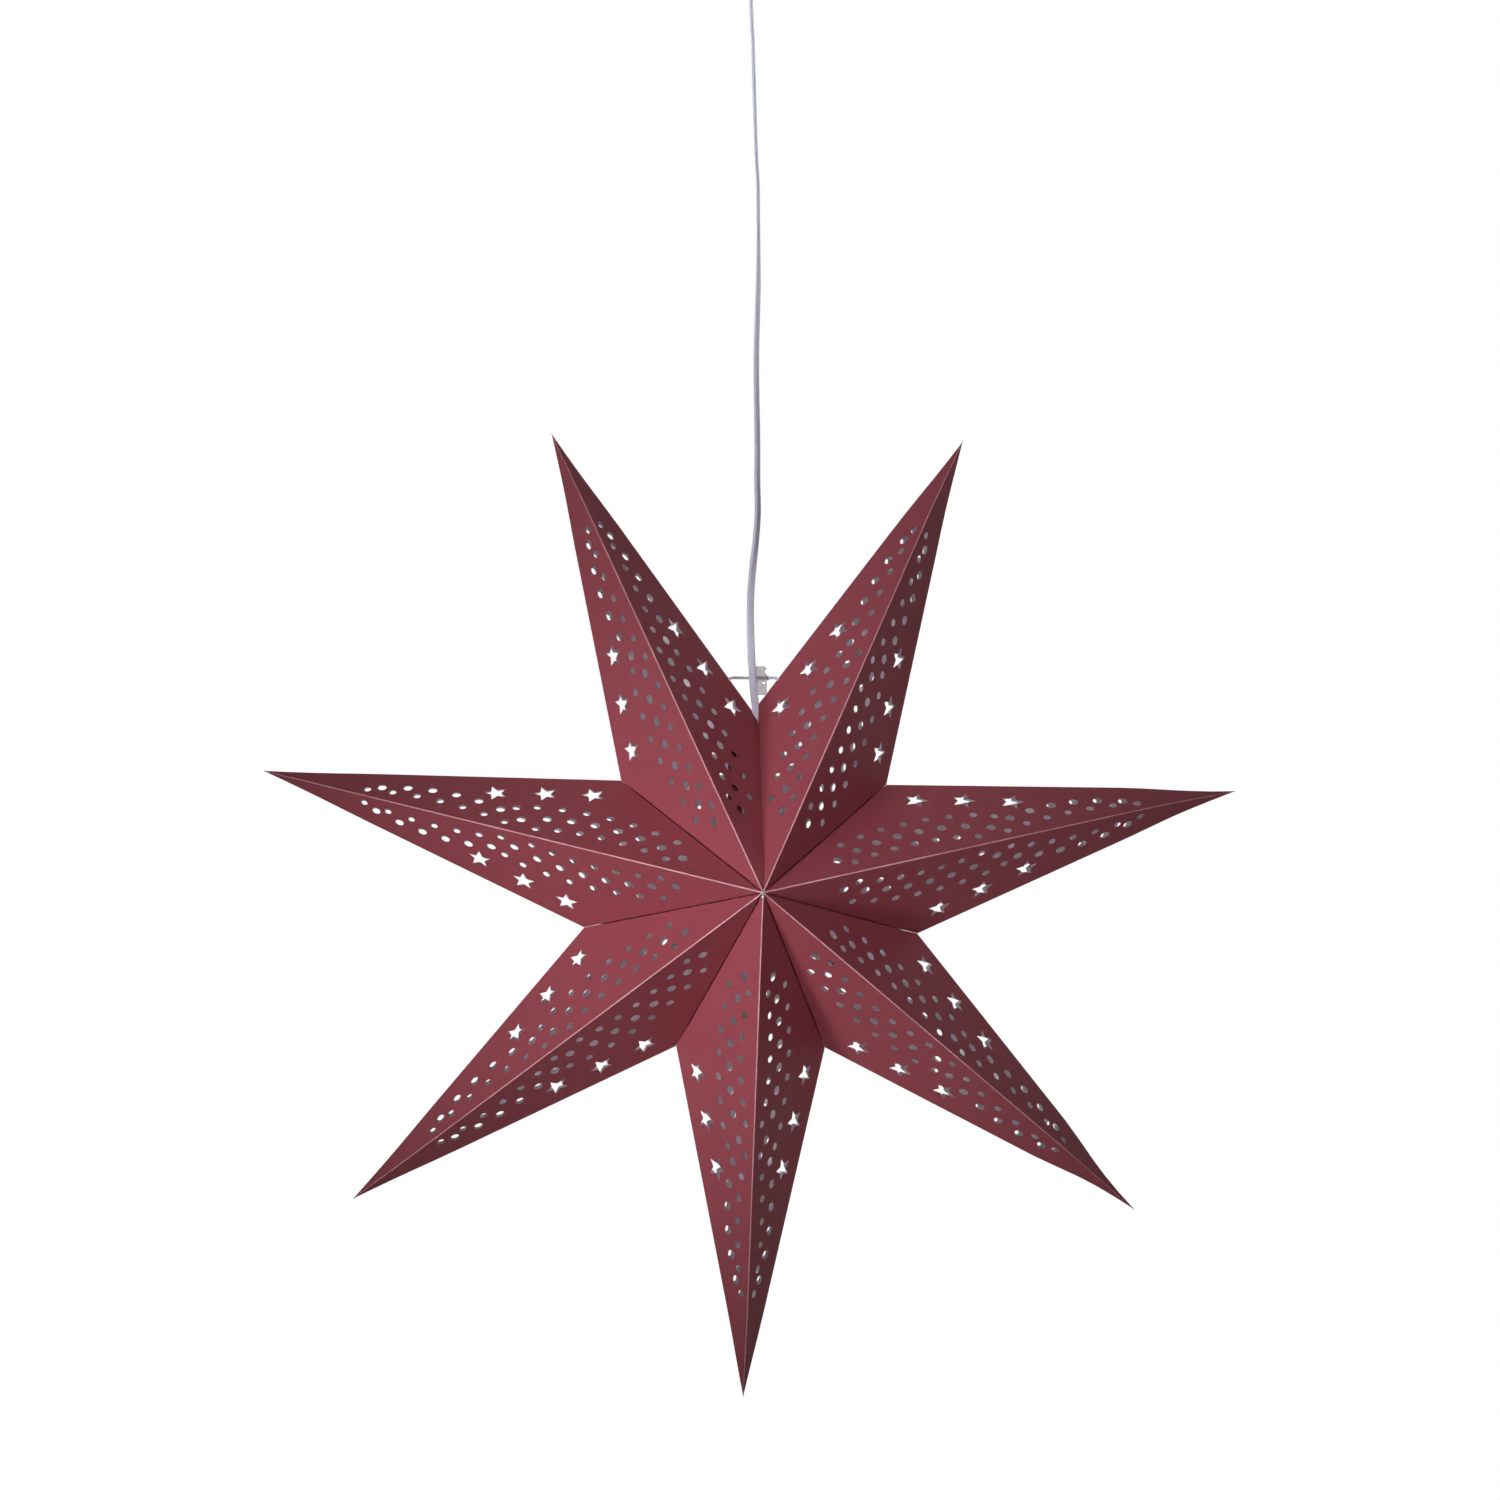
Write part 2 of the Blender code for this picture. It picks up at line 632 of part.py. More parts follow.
def make_bulb(lamp, top, glass, brass, steel):
    """The bulb's contact button, screw cap and glass, under the tongue."""
    button_bottom = top - BULB_BUTTON_HEIGHT
    button = [
        (0.0, top), (BULB_BUTTON_RADIUS, top),
        (BULB_BUTTON_RADIUS, button_bottom), (0.0, button_bottom),
    ]
    turned("bulb_contact", button, lamp, steel, steps=16)
    cap_top = button_bottom - CLEARANCE
    cap_bottom = cap_top - BULB_CAP_LENGTH
    cap = [
        (0.0, cap_top), (BULB_BUTTON_RADIUS + BULB_CAP_TAPER / 2, cap_top),
        (BULB_CAP_RADIUS, cap_top - BULB_CAP_TAPER), (BULB_CAP_RADIUS, cap_bottom), (0.0, cap_bottom),
    ]
    turned("bulb_cap", cap, lamp, brass)
    outside = glass_wall(cap_bottom - CLEARANCE, 0.0)
    inside = glass_wall(cap_bottom - CLEARANCE, GLASS_WALL)
    turned("bulb_glass", inside[::-1] + outside, lamp, glass, steps=FINE_STEPS)


def glass_wall(neck_top, inset):
    """The bulb's glass from its open neck down to its lowest point, inset by a wall."""
    centre = neck_top - GLASS_NECK_LENGTH
    reach = GLASS_RADIUS - inset
    meet = math.radians(GLASS_MEETING_TURN)
    wall = []
    for wide, down in GLASS_NECK_SHARES:
        wall.append((BULB_CAP_RADIUS * wide - inset, neck_top - GLASS_NECK_LENGTH * down))
    for index in range(8):
        turn = meet + (math.pi - meet) * index / 8
        wall.append((reach * math.sin(turn), centre + reach * math.cos(turn)))
    wall.append((0.0, centre - reach))
    return wall


def cup_radius():
    """The cup's outer radius: its wall clears the corners of the bracket's ears."""
    return math.hypot(BRACKET_SPAN / 2, BRACKET_WIDTH / 2) + CLEARANCE + CUP_WALL


def make_bracket(root, steel):
    """The steel strap under the ceiling, its two ears turned down."""
    half = BRACKET_SPAN / 2
    inner = half - BRACKET_THICKNESS
    outline = [
        (-half, 0.0), (-half, -BRACKET_EAR), (-inner, -BRACKET_EAR), (-inner, -BRACKET_THICKNESS),
        (inner, -BRACKET_THICKNESS), (inner, -BRACKET_EAR), (half, -BRACKET_EAR), (half, 0.0),
    ]
    mesh = flat_mesh("ceiling_bracket", [outline], BRACKET_WIDTH / 2)
    bracket = place("ceiling_bracket", mesh, root, steel, turn=(math.pi / 2, 0.0, 0.0))
    reach = 2 * BRACKET_THICKNESS
    for label, across in (("left", -BRACKET_HOLE_SHIFT), ("right", BRACKET_HOLE_SHIFT)):
        ends = [Vector((across, 0.0, reach)), Vector((across, 0.0, -reach))]
        cut(bracket, drilled(f"fixing_hole_{label}", ends, BRACKET_HOLE_RADIUS, root))
    ends = [Vector((side * half * 2, 0.0, -CUP_SCREW_DROP)) for side in (-1, 1)]
    cut(bracket, drilled("ear_holes", ends, CUP_SCREW_RADIUS + CLEARANCE, root))
    return bracket


def drilled(name, ends, radius, parent):
    """A straight drill between two points."""
    return place(name, solid_from_curve(name, tube_curve(name, ends, radius)), parent)


def make_cup(root, plastic, steel):
    """The ceiling cup and the two screws that hold it to the bracket's ears."""
    outer = cup_radius()
    bottom = -CUP_HEIGHT
    hole = GRIP_TUBE_RADIUS + CLEARANCE
    arc = [math.pi / 2 * index / 5 for index in range(6)]
    bend = outer - CUP_BEND_RADIUS
    inner_bend = CUP_BEND_RADIUS - CUP_WALL
    outside = [(bend + CUP_BEND_RADIUS * math.cos(a),
                bottom + CUP_BEND_RADIUS - CUP_BEND_RADIUS * math.sin(a)) for a in arc]
    inside = [(bend + inner_bend * math.cos(a),
               bottom + CUP_BEND_RADIUS - inner_bend * math.sin(a)) for a in reversed(arc)]
    profile = [
        (outer, -CLEARANCE), *outside, (hole, bottom), (hole, bottom + CUP_WALL),
        *inside, (outer - CUP_WALL, -CLEARANCE),
    ]
    cup = turned("ceiling_cup", profile, root, plastic, closed=True, steps=FINE_STEPS)
    ends = [Vector((side * 2 * outer, 0.0, -CUP_SCREW_DROP)) for side in (-1, 1)]
    cut(cup, drilled("cup_holes", ends, CUP_SCREW_RADIUS + CLEARANCE, root))
    for label, side in (("left", -1), ("right", 1)):
        seat = outer + CLEARANCE
        end = BRACKET_SPAN / 2 - BRACKET_THICKNESS - CUP_SCREW_END
        screw = [
            (0.0, CUP_SCREW_HEAD_THICKNESS), (CUP_SCREW_HEAD_RADIUS, CUP_SCREW_HEAD_THICKNESS),
            (CUP_SCREW_HEAD_RADIUS, 0.0), (CUP_SCREW_RADIUS, 0.0),
            (CUP_SCREW_RADIUS, end - seat), (0.0, end - seat),
        ]
        turned(f"cup_screw_{label}", screw, root, steel, (side * seat, 0.0, -CUP_SCREW_DROP),
               (0.0, side * math.pi / 2, 0.0), steps=16)


def make_grip(root, plastic):
    """The cord grip through the cup's bottom, and its nut inside."""
    flange_top = -CUP_HEIGHT - CLEARANCE
    flange_bottom = flange_top - GRIP_FLANGE_THICKNESS
    tube_top = flange_top + GRIP_TUBE_LENGTH
    bore = CORD_RADIUS + CLEARANCE
    grip = [
        (GRIP_TUBE_RADIUS, tube_top), (GRIP_TUBE_RADIUS, flange_top),
        (GRIP_FLANGE_RADIUS, flange_top), (GRIP_FLANGE_RADIUS, flange_bottom),
        (GRIP_MOUTH_RADIUS, flange_bottom), (bore, flange_bottom + GRIP_MOUTH_LENGTH), (bore, tube_top),
    ]
    turned("cord_grip", grip, root, plastic, closed=True)
    nut_bottom = -CUP_HEIGHT + CUP_WALL + CLEARANCE
    nut_top = nut_bottom + NUT_THICKNESS
    nut_bore = GRIP_TUBE_RADIUS + CLEARANCE
    nut = [(NUT_RADIUS, nut_top), (NUT_RADIUS, nut_bottom), (nut_bore, nut_bottom), (nut_bore, nut_top)]
    turned("grip_nut", nut, root, plastic, closed=True, steps=6 * 4)


def make_terminal_block(root, plastic):
    """The terminal block under the bracket, where the supply meets the cord."""
    mesh = bpy.data.meshes.new("terminal_block")
    shape = bmesh.new()
    bmesh.ops.create_cube(shape, size=1.0)
    bmesh.ops.scale(shape, vec=(BLOCK_LENGTH, BLOCK_WIDTH, BLOCK_HEIGHT), verts=shape.verts)
    shape.to_mesh(mesh)
    shape.free()
    middle = -(BRACKET_THICKNESS + CLEARANCE + BLOCK_HEIGHT / 2)
    block = place("terminal_block", mesh, root, plastic, (0.0, 0.0, middle))
    bevel = block.modifiers.new("edges", "BEVEL")
    bevel.width = BLOCK_BEVEL
    bevel.segments = 1


def make_cord_tail(root, look):
    """The cord's fixed end inside the cup, from the terminal block to the neck."""
    top = -(BRACKET_THICKNESS + BLOCK_HEIGHT + 2 * CLEARANCE)
    bottom = pivot_height() + CORD_RADIUS + CLEARANCE
    points = smooth_route([Vector((0.0, 0.0, top)), Vector((0.0, 0.0, bottom))], CORD_POINT_STEP)
    place("cord_tail", tube_curve("cord_tail", points, CORD_RADIUS), root, look)


def build():
    """Make the whole lantern."""
    card = material("card_red", CARD_RED, 0.62)
    pvc = material("pvc_white", PVC_WHITE, 0.45)
    clear = material("clip_plastic", CLEAR_PLASTIC, 0.25)
    white = material("holder_plastic", HOLDER_WHITE, 0.40)
    opal = material("opal_glass", GLASS_OPAL, 0.15)
    steel = material("steel", STEEL_GREY, 0.35, 1.0)
    brass = material("brass", BRASS_YELLOW, 0.30, 1.0)

    root = marker("ceiling_origin", (0.0, 0.0, 0.0))
    make_bracket(root, steel)
    make_cup(root, white, steel)
    make_grip(root, white)
    make_terminal_block(root, white)
    make_cord_tail(root, pvc)

    swing = marker("swing_pivot", (0.0, 0.0, pivot_height()), root)
    centre = marker("star_centre", (STAR_SHIFT, 0.0, -STAR_DROP), root)
    lamp = marker("lamp_axis", (HOLDER_SHIFT, 0.0, 0.0), centre)
    cord = make_cord(centre, swing, pvc)
    rays = [make_ray(index, centre, card) for index in range(len(RAY_NAMES))]
    for ray in rays[:2]:
        low = NOTCH_RADIUS - CORD_CUT_RADIUS - CORD_POINT_STEP
        high = NOTCH_RADIUS * TOP_SEAM_REACH_SHARE + 2 * CORD_POINT_STEP
        cut(ray, cord_cutter(ray.name + "_cord_room", cord, CORD_CUT_RADIUS, low, high, centre))
    wire = make_wire(centre, rays, pvc)
    make_clip(centre, cord, wire, clear)
    bulb_top = make_lampholder(lamp, white, brass)
    make_bulb(lamp, bulb_top, opal, brass, steel)
    bpy.context.view_layer.update()


build()
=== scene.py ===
"""A seven-pointed paper star lantern on its cord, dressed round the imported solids.

Metres, +Z up, the ceiling at height 0. The star's front looks along -Y.
"""
import math

import bmesh
import bpy
from mathutils import Matrix, Vector, noise


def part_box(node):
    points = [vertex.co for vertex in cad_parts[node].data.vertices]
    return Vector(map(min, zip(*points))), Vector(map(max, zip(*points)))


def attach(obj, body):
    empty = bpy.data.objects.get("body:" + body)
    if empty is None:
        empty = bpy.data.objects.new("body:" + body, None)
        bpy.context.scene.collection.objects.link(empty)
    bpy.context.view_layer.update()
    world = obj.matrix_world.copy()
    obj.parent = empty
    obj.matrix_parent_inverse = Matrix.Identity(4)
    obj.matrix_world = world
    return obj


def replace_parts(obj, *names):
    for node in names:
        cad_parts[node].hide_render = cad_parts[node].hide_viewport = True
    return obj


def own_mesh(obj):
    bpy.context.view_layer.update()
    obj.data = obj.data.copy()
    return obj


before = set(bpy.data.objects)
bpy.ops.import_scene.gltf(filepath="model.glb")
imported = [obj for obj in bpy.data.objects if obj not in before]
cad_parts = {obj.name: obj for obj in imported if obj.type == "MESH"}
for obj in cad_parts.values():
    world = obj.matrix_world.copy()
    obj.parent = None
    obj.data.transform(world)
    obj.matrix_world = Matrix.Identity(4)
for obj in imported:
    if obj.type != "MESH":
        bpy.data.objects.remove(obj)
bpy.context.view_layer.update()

MM = 0.001
UP = Vector((0.0, 0.0, 1.0))

# The star's own sizes, in metres, which the card solids share
STAR_CENTRE = Vector((0.0022, 0.0, -0.640))
STAR_RADIUS = 0.324
NOTCH_RADIUS = 0.1113
STAR_HALF_DEPTH = 0.0972

# Card and seams as the photograph shows them; the solids have 0.5 mm card and 0.4 mm seams
CARD_THICKNESS = 0.30 * MM
SEAM_GAP = 1.0 * MM
# How far the seams stand open, by the share of the way from the peak to the notch
SEAM_OPENING = ((0.0, 0.6), (0.1, 1.0), (0.85, 1.0), (0.97, 0.3), (1.0, 0.2))

RAY_NAMES = ("ray_1", "ray_2", "ray_3", "ray_4", "ray_5", "ray_6", "ray_7")
RAY_BODIES = (
    "pendant", "second_ray", "third_ray", "fourth_ray", "fifth_ray", "sixth_ray", "seventh_ray",
)

# Turns are in degrees, clockwise from straight up, and reaches are shares of the two radii;
# four of the tips reach a little more or less far than in the solids
TIP_TURNS = (-23.71, 24.75, 77.94, 129.55, 181.0, 232.53, 283.9)
TIP_REACH_SHARES = (0.998, 0.996, 0.994, 1.0, 1.008, 1.002, 1.0015)
NOTCH_TURNS = (1.45, 51.15, 104.06, 155.13, 206.65, 258.27, 310.2)
NOTCH_REACH_SHARES = (1.01, 0.998, 0.988, 0.995, 0.998, 1.002, 1.004)
TOP_SEAM_TURN = 1.6
TOP_SEAM_REACH_SHARE = 1.093

# Tips pressed together by hand: how much of its width each ray keeps there, and its bend aside
TIP_PINCHES = (0.88, 0.93, 0.80, 0.56, 1.0, 0.92, 0.92)
TIP_BENDS = (-0.4 * MM, 1.2 * MM, 1.3 * MM, 0.8 * MM, 0.7 * MM, 0.4 * MM, 0.0)
PINCH_END = 75 * MM
BEND_END = 60 * MM

# Punched pattern on each panel, in shares along the ridge from the tip and across from it:
# arches of seven dots, each by its first, middle and last dot
DOTS_IN_ARCH = 7
SMALL_ARCHES = (
    ((0.203, 0.090), (0.344, 0.165), (0.480, 0.104)),
    ((0.542, 0.111), (0.666, 0.194), (0.798, 0.130)),
    ((0.520, 0.387), (0.660, 0.465), (0.801, 0.371)),
)
LARGE_ARCHES = (
    ((0.226, 0.157), (0.364, 0.297), (0.506, 0.185)),
    ((0.551, 0.269), (0.687, 0.330), (0.827, 0.190)),
)
JOINING_DOT = (0.484, 0.316)
STAR_HOLES = ((0.430, 0.446), (0.517, 0.591), (0.602, 0.723))
SMALL_DOT = 2.5 * MM
LARGE_DOT = 3.05 * MM
STAR_HOLE = 8.2 * MM
STAR_POINTS = 5
STAR_WAIST_SHARE = 0.45
DOT_SIDES = 20

# Glue flaps turned in along the seams, and the closing tab of ray_2 that slips into ray_1
FLAP_DEPTH = 7.5 * MM
FLAP_TAPER = 9 * MM
FLAP_SHUT = 0.02 * MM
FLAP_SINK = 0.2 * MM
FLAP_FROM_PEAK = 1.2 * MM
FLAP_FROM_NOTCH = 2 * MM
TAB_SHARES = (
    (0.676, 0.525), (0.845, 0.045), (0.955, 0.062), (0.918, 0.185), (0.846, 0.205),
    (0.687, 0.662), (0.712, 0.735), (0.694, 0.790), (0.655, 0.700),
)
TAB_BEHIND = 4 * MM
CLOSING_SHORT = 0.5 * MM

# The closing panel lifts at its seam, and settles this far from the seam, the ridge and the fold
SEAM_LIFT = 2.3 * MM
LIFT_FROM_SEAM = 32 * MM
LIFT_FROM_RIDGE = 10 * MM
LIFT_FROM_FOLD = 14 * MM

# Each panel's slight wave: how high it is, how long it is each way, and how far in it is full
WAVE_HEIGHT = 0.45 * MM
WAVE_ALONG = 70 * MM
WAVE_ACROSS = 45 * MM
WAVE_FULL = 18 * MM

# A ridge's fold is flattened this far to each side, and that starts and is full this far from the tip
FOLD_WIDTH = 0.6 * MM
FOLD_START = 2 * MM
FOLD_FULL = 12 * MM

# The card is cut and bent on a grid this fine, and upright faces this near an edge are its rim
GRID_STEP = 14 * MM
RIM_WIDTH = 0.6 * MM
WELD_DISTANCE = 0.005 * MM
CUT_DISTANCE = 0.001 * MM

# Places of a ray's three looks among its materials
DYED_LOOK, BARE_LOOK, CUT_LOOK = 0, 1, 2

# The dyed face gives way to white this far along the ridge from the tip, in metres: worn bare card there,
# whitened further as a painted highlight
PEAK_WHITE_START = 0.3367
PEAK_WHITE_FULL = 0.3377

# Edges that turn by more degrees than this stay sharp
CARD_CREASE = 15
CUP_CREASE = 30
LEAD_CREASE = 60

# Photo's camera, worked out from the punched pattern
CAMERA_REACH = 2.592
CAMERA_YAW = 3.687
CAMERA_PITCH = 0.145
FRAME_PIXELS = 1500
FOCAL_PIXELS = 4004
CENTRE_PIXEL = (753.13, 892.27)
SENSOR_WIDTH = 36.0

# Flat two-core lead, with a groove between its cores
CORD_THICK = 3.0 * MM
CORD_WIDE = 4.9 * MM
CORD_SIDES = 36
CORD_STEP = 4 * MM
GROOVE_SHARE = 0.16
GROOVE_NARROWNESS = 2.6
CORE_SPREAD = 1.8

# The lead hangs straight under the cup, and enters the nose of the lampholder's cap
CORD_STRAIGHT = 4 * MM
HOLDER_NOSE = 2.5 * MM

# The lead's route, as part.py has it: across and height from the star's centre, in metres
CORD_ROUTE = (
    (-0.0017, 0.5776), (-0.0005, 0.5517), (0.0004, 0.5258), (0.0011, 0.4999),
    (0.0019, 0.4760), (0.0029, 0.4560), (0.0033, 0.4223), (0.0033, 0.3964),
    (0.0026, 0.3705), (0.0020, 0.3446), (0.0022, 0.3187), (0.0026, 0.2928),
    (0.0026, 0.2669), (0.0029, 0.2460), (0.0017, 0.2281), (-0.0002, 0.2110),
    (-0.0016, 0.1930), (-0.0019, 0.1763), (-0.0010, 0.1504), (0.0004, 0.1310),
    (0.0017, 0.1170), (0.0021, 0.1040),
)

# Height over the star's centre, in metres, and the degrees that the lead has turned there
CORD_TWIST = (
    (0.60, 88.0), (0.42, 84.0), (0.39, 68.0), (0.30, 55.0), (0.228, 44.0),
    (0.200, 22.0), (0.150, 4.0), (0.06, 0.0),
)

# Ceiling cup, moulded in one piece
CUP_WALL = 1.8 * MM
CUP_BEND = 16 * MM
CUP_MOUTH_RADIUS = 5.3 * MM
CUP_SIDES = 128
CUP_BEND_STEPS = 12

# Studio lights: degrees round from the front and up, metres away, metres across, beam's
# degrees, metres that it is aimed over the star's centre, and watts
LIGHTS = (
    ("key_box", -45.0, -10.0, 2.2, 0.30, 20.0, 0.0, 0.29),
    ("second_box", -20.0, 5.0, 2.2, 0.30, 20.0, 0.0, 0.24),
    ("upper_box", 5.0, 25.0, 2.2, 0.30, 22.0, 0.0, 0.095),
    ("lead_box", -30.0, 0.0, 2.2, 0.30, 14.0, 0.46, 0.13),
    ("cup_front_box", -12.0, 0.0, 2.2, 0.10, 10.0, 0.62, 0.05),
    ("cup_right_box", 92.0, 0.0, 2.2, 0.20, 14.0, 0.54, 0.19),
    ("cup_left_box", -92.0, 0.0, 2.2, 0.20, 14.0, 0.54, 0.19),
    ("back_left_box", -172.0, 12.0, 3.0, 0.8, 30.0, 0.0, 1.3),
    ("back_right_box", 170.0, -6.0, 3.0, 0.8, 30.0, 0.0, 1.0),
)
ROOM_LEVEL = 0.02
BACKDROP_LEVEL = 0.5
FLOOR_LEVEL = 0.8

# The backdrop's glow begins and is full where a direction points this share of the way back
BACKDROP_START = 0.55
BACKDROP_FULL = 0.8

# The floor's height from the ceiling, in metres, and its size
FLOOR_HEIGHT = -2.4
FLOOR_RADIUS = 3.0
FLOOR_SIDES = 96

# Sockets of a Mix node that mixes colours
SHARE, FIRST, SECOND, MIXED = 0, 6, 7, 2


def linear(hex_colour):
    """A colour written as sRGB hex, turned to Blender's linear values."""
    values = [int(hex_colour[i:i + 2], 16) / 255 for i in (1, 3, 5)]
    return (*(v / 12.92 if v <= 0.04045 else ((v + 0.055) / 1.055) ** 2.4 for v in values), 1.0)


def add_node(tree, kind, values=None, links=None, **settings):
    """Add one node, with its settings, its sockets' values and its incoming links."""
    made = tree.nodes.new(kind)
    for name, value in settings.items():
        setattr(made, name, value)
    for socket, value in (values or {}).items():
        made.inputs[socket].default_value = value
    for socket, source in (links or {}).items():
        tree.links.new(source, made.inputs[socket])
    return made


def seeing_rays(tree):
    """1 for rays from the camera or through gloss or glass, which see the room as white."""
    path = add_node(tree, "ShaderNodeLightPath").outputs
    seen = add_node(tree, "ShaderNodeMath", links={0: path["Is Camera Ray"], 1: path["Is Glossy Ray"]},
                    operation="MAXIMUM").outputs[0]
    return add_node(tree, "ShaderNodeMath", links={0: seen, 1: path["Is Transmission Ray"]},
                    operation="MAXIMUM").outputs[0]


def new_material(name, **sockets):
    """A named finish with its Principled shader, ready for its pattern."""
    made = bpy.data.materials.new(name)
    made.use_nodes = True
    shader = made.node_tree.nodes["Principled BSDF"]
    for socket, value in sockets.items():
        shader.inputs[socket.replace("_", " ")].default_value = value
    return made, made.node_tree, shader


def dyed_card():
    """Wood-fibre card, dyed through its face and calendered.

    Rolling it flat leaves an even wine red that is matt with a slight sheen. Where it is
    folded the dyed face cracks, so the ridges show a thin, broken, pale line, which is also
    a painted highlight of the rounded fold, and the peak is painted white as a highlight.
    """
    made, tree, shader = new_material(
        "calendered_dyed_card", Roughness=0.5, IOR=1.5, Specular_IOR_Level=0.1)
    place = add_node(tree, "ShaderNodeTexCoord").outputs["Object"]
    spans = add_node(tree, "ShaderNodeUVMap", uv_map="spans").outputs["UV"]
    spans = add_node(tree, "ShaderNodeSeparateXYZ", links={"Vector": spans})
    rims = add_node(tree, "ShaderNodeUVMap", uv_map="rims").outputs["UV"]
    rims = add_node(tree, "ShaderNodeSeparateXYZ", links={"Vector": rims})
    along, from_ridge, from_side = spans.outputs["X"], spans.outputs["Y"], rims.outputs["X"]

    # Fibre clouds about 12 mm across, and single fibres of 0.7 mm
    clouds = add_node(tree, "ShaderNodeTexNoise", {"Scale": 1 / (12 * MM), "Detail": 4.0},
                      {"Vector": place}).outputs["Fac"]
    fibres = add_node(tree, "ShaderNodeTexNoise", {"Scale": 1 / (0.7 * MM), "Detail": 3.0},
                      {"Vector": place}).outputs["Fac"]
    colour = add_node(tree, "ShaderNodeMix", {FIRST: linear("#A14D59"), SECOND: linear("#A6515C")},
                      {SHARE: clouds}, data_type="RGBA").outputs[MIXED]
    colour = add_node(tree, "ShaderNodeMix", {SECOND: linear("#AD5762")}, {
        SHARE: add_node(tree, "ShaderNodeMapRange", {"From Min": 0.55, "From Max": 0.8, "To Max": 0.5},
                        {"Value": fibres}).outputs["Result"],
        FIRST: colour}, data_type="RGBA").outputs[MIXED]

    # Ridges: a pale line about half a millimetre each way, partly dye that cracks at the fold and
    # partly a painted highlight of the rounded fold, stronger toward the middle; the side folds hardly show
    # it
    ragged = add_node(tree, "ShaderNodeTexNoise", {"Scale": 1 / (1.6 * MM), "Detail": 4.0},
                      {"Vector": place}).outputs["Fac"]
    patches = add_node(tree, "ShaderNodeTexNoise", {"Scale": 1 / (26 * MM), "Detail": 2.0},
                       {"Vector": place}).outputs["Fac"]
    side_fold = add_node(tree, "ShaderNodeMath", {1: 0.8 * MM}, {0: from_side}, operation="ADD").outputs[0]
    from_fold = add_node(tree, "ShaderNodeMath", links={0: from_ridge, 1: side_fold},
                         operation="MINIMUM").outputs[0]
    wavering = add_node(tree, "ShaderNodeMath", {1: -0.9 * MM}, {0: ragged, 2: from_fold},
                        operation="MULTIPLY_ADD").outputs[0]
    cracked_and_highlit = add_node(tree, "ShaderNodeMapRange",
                       {"From Min": 0.05 * MM, "From Max": 0.30 * MM, "To Min": 1.0, "To Max": 0.0},
                       {"Value": wavering}, interpolation_type="SMOOTHSTEP").outputs["Result"]
    toward_middle = add_node(tree, "ShaderNodeMapRange",
                             {"From Max": 0.8 * STAR_RADIUS, "To Min": 0.55, "To Max": 1.0},
                             {"Value": along}).outputs["Result"]
    patchy = add_node(tree, "ShaderNodeMapRange",
                      {"From Min": 0.35, "From Max": 0.6, "To Min": 0.75, "To Max": 1.0},
                      {"Value": patches}).outputs["Result"]
    strength = add_node(tree, "ShaderNodeMath", links={0: toward_middle, 1: patchy},
                        operation="MULTIPLY").outputs[0]
    strength = add_node(tree, "ShaderNodeMath", links={0: cracked_and_highlit, 1: strength},
                        operation="MULTIPLY").outputs[0]
    colour = add_node(tree, "ShaderNodeMix", {SECOND: linear("#F2BCC3")},
                      {SHARE: strength, FIRST: colour}, data_type="RGBA").outputs[MIXED]

    # Bare white where the seven points meet: worn card, and a painted highlight there
    bare_and_highlit_peak = add_node(tree, "ShaderNodeMapRange",
                        {"From Min": PEAK_WHITE_START, "From Max": PEAK_WHITE_FULL}, {"Value": along}).outputs["Result"]
    colour = add_node(tree, "ShaderNodeMix", {SECOND: linear("#F3EDEE")},
                      {SHARE: bare_and_highlit_peak, FIRST: colour}, data_type="RGBA").outputs[MIXED]

    # Stray pale fibres caught in the face, one in every few square centimetres
    cells = add_node(tree, "ShaderNodeTexVoronoi", {"Scale": 1 / (24 * MM)}, {"Vector": place})
    speck = add_node(tree, "ShaderNodeMapRange",
                     {"From Min": 0.012, "From Max": 0.026, "To Min": 0.7, "To Max": 0.0},
                     {"Value": cells.outputs["Distance"]}).outputs["Result"]
    colour = add_node(tree, "ShaderNodeMix", {SECOND: linear("#E3B4BA")},
                      {SHARE: speck, FIRST: colour}, data_type="RGBA").outputs[MIXED]
    tree.links.new(colour, shader.inputs["Base Color"])

    bump = add_node(tree, "ShaderNodeBump", {"Strength": 0.10, "Distance": 0.06 * MM},
                    {"Height": fibres}).outputs["Normal"]
    tree.links.new(bump, shader.inputs["Normal"])
    return made


def bare_card():
    """The back of the same card, bleached and left undyed.

    It is a soft white with a little fibre, and so thin that light on the far face glows through.
    """
    made, tree, shader = new_material(
        "bleached_card_bare", Roughness=0.85, IOR=1.5, Specular_IOR_Level=0.2,
        Subsurface_Weight=0.3, Subsurface_Radius=(1.0, 0.75, 0.9), Subsurface_Scale=2 * MM)
    place = add_node(tree, "ShaderNodeTexCoord").outputs["Object"]
    fibres = add_node(tree, "ShaderNodeTexNoise", {"Scale": 1 / (1.5 * MM), "Detail": 3.0},
                      {"Vector": place}).outputs["Fac"]
    colour = add_node(tree, "ShaderNodeMix", {FIRST: linear("#F3EAF2"), SECOND: linear("#FBF4FA")},
                      {SHARE: fibres}, data_type="RGBA").outputs[MIXED]
    tree.links.new(colour, shader.inputs["Base Color"])
    bump = add_node(tree, "ShaderNodeBump", {"Strength": 0.15, "Distance": 0.06 * MM},
                    {"Height": fibres}).outputs["Normal"]
    tree.links.new(bump, shader.inputs["Normal"])
    return made


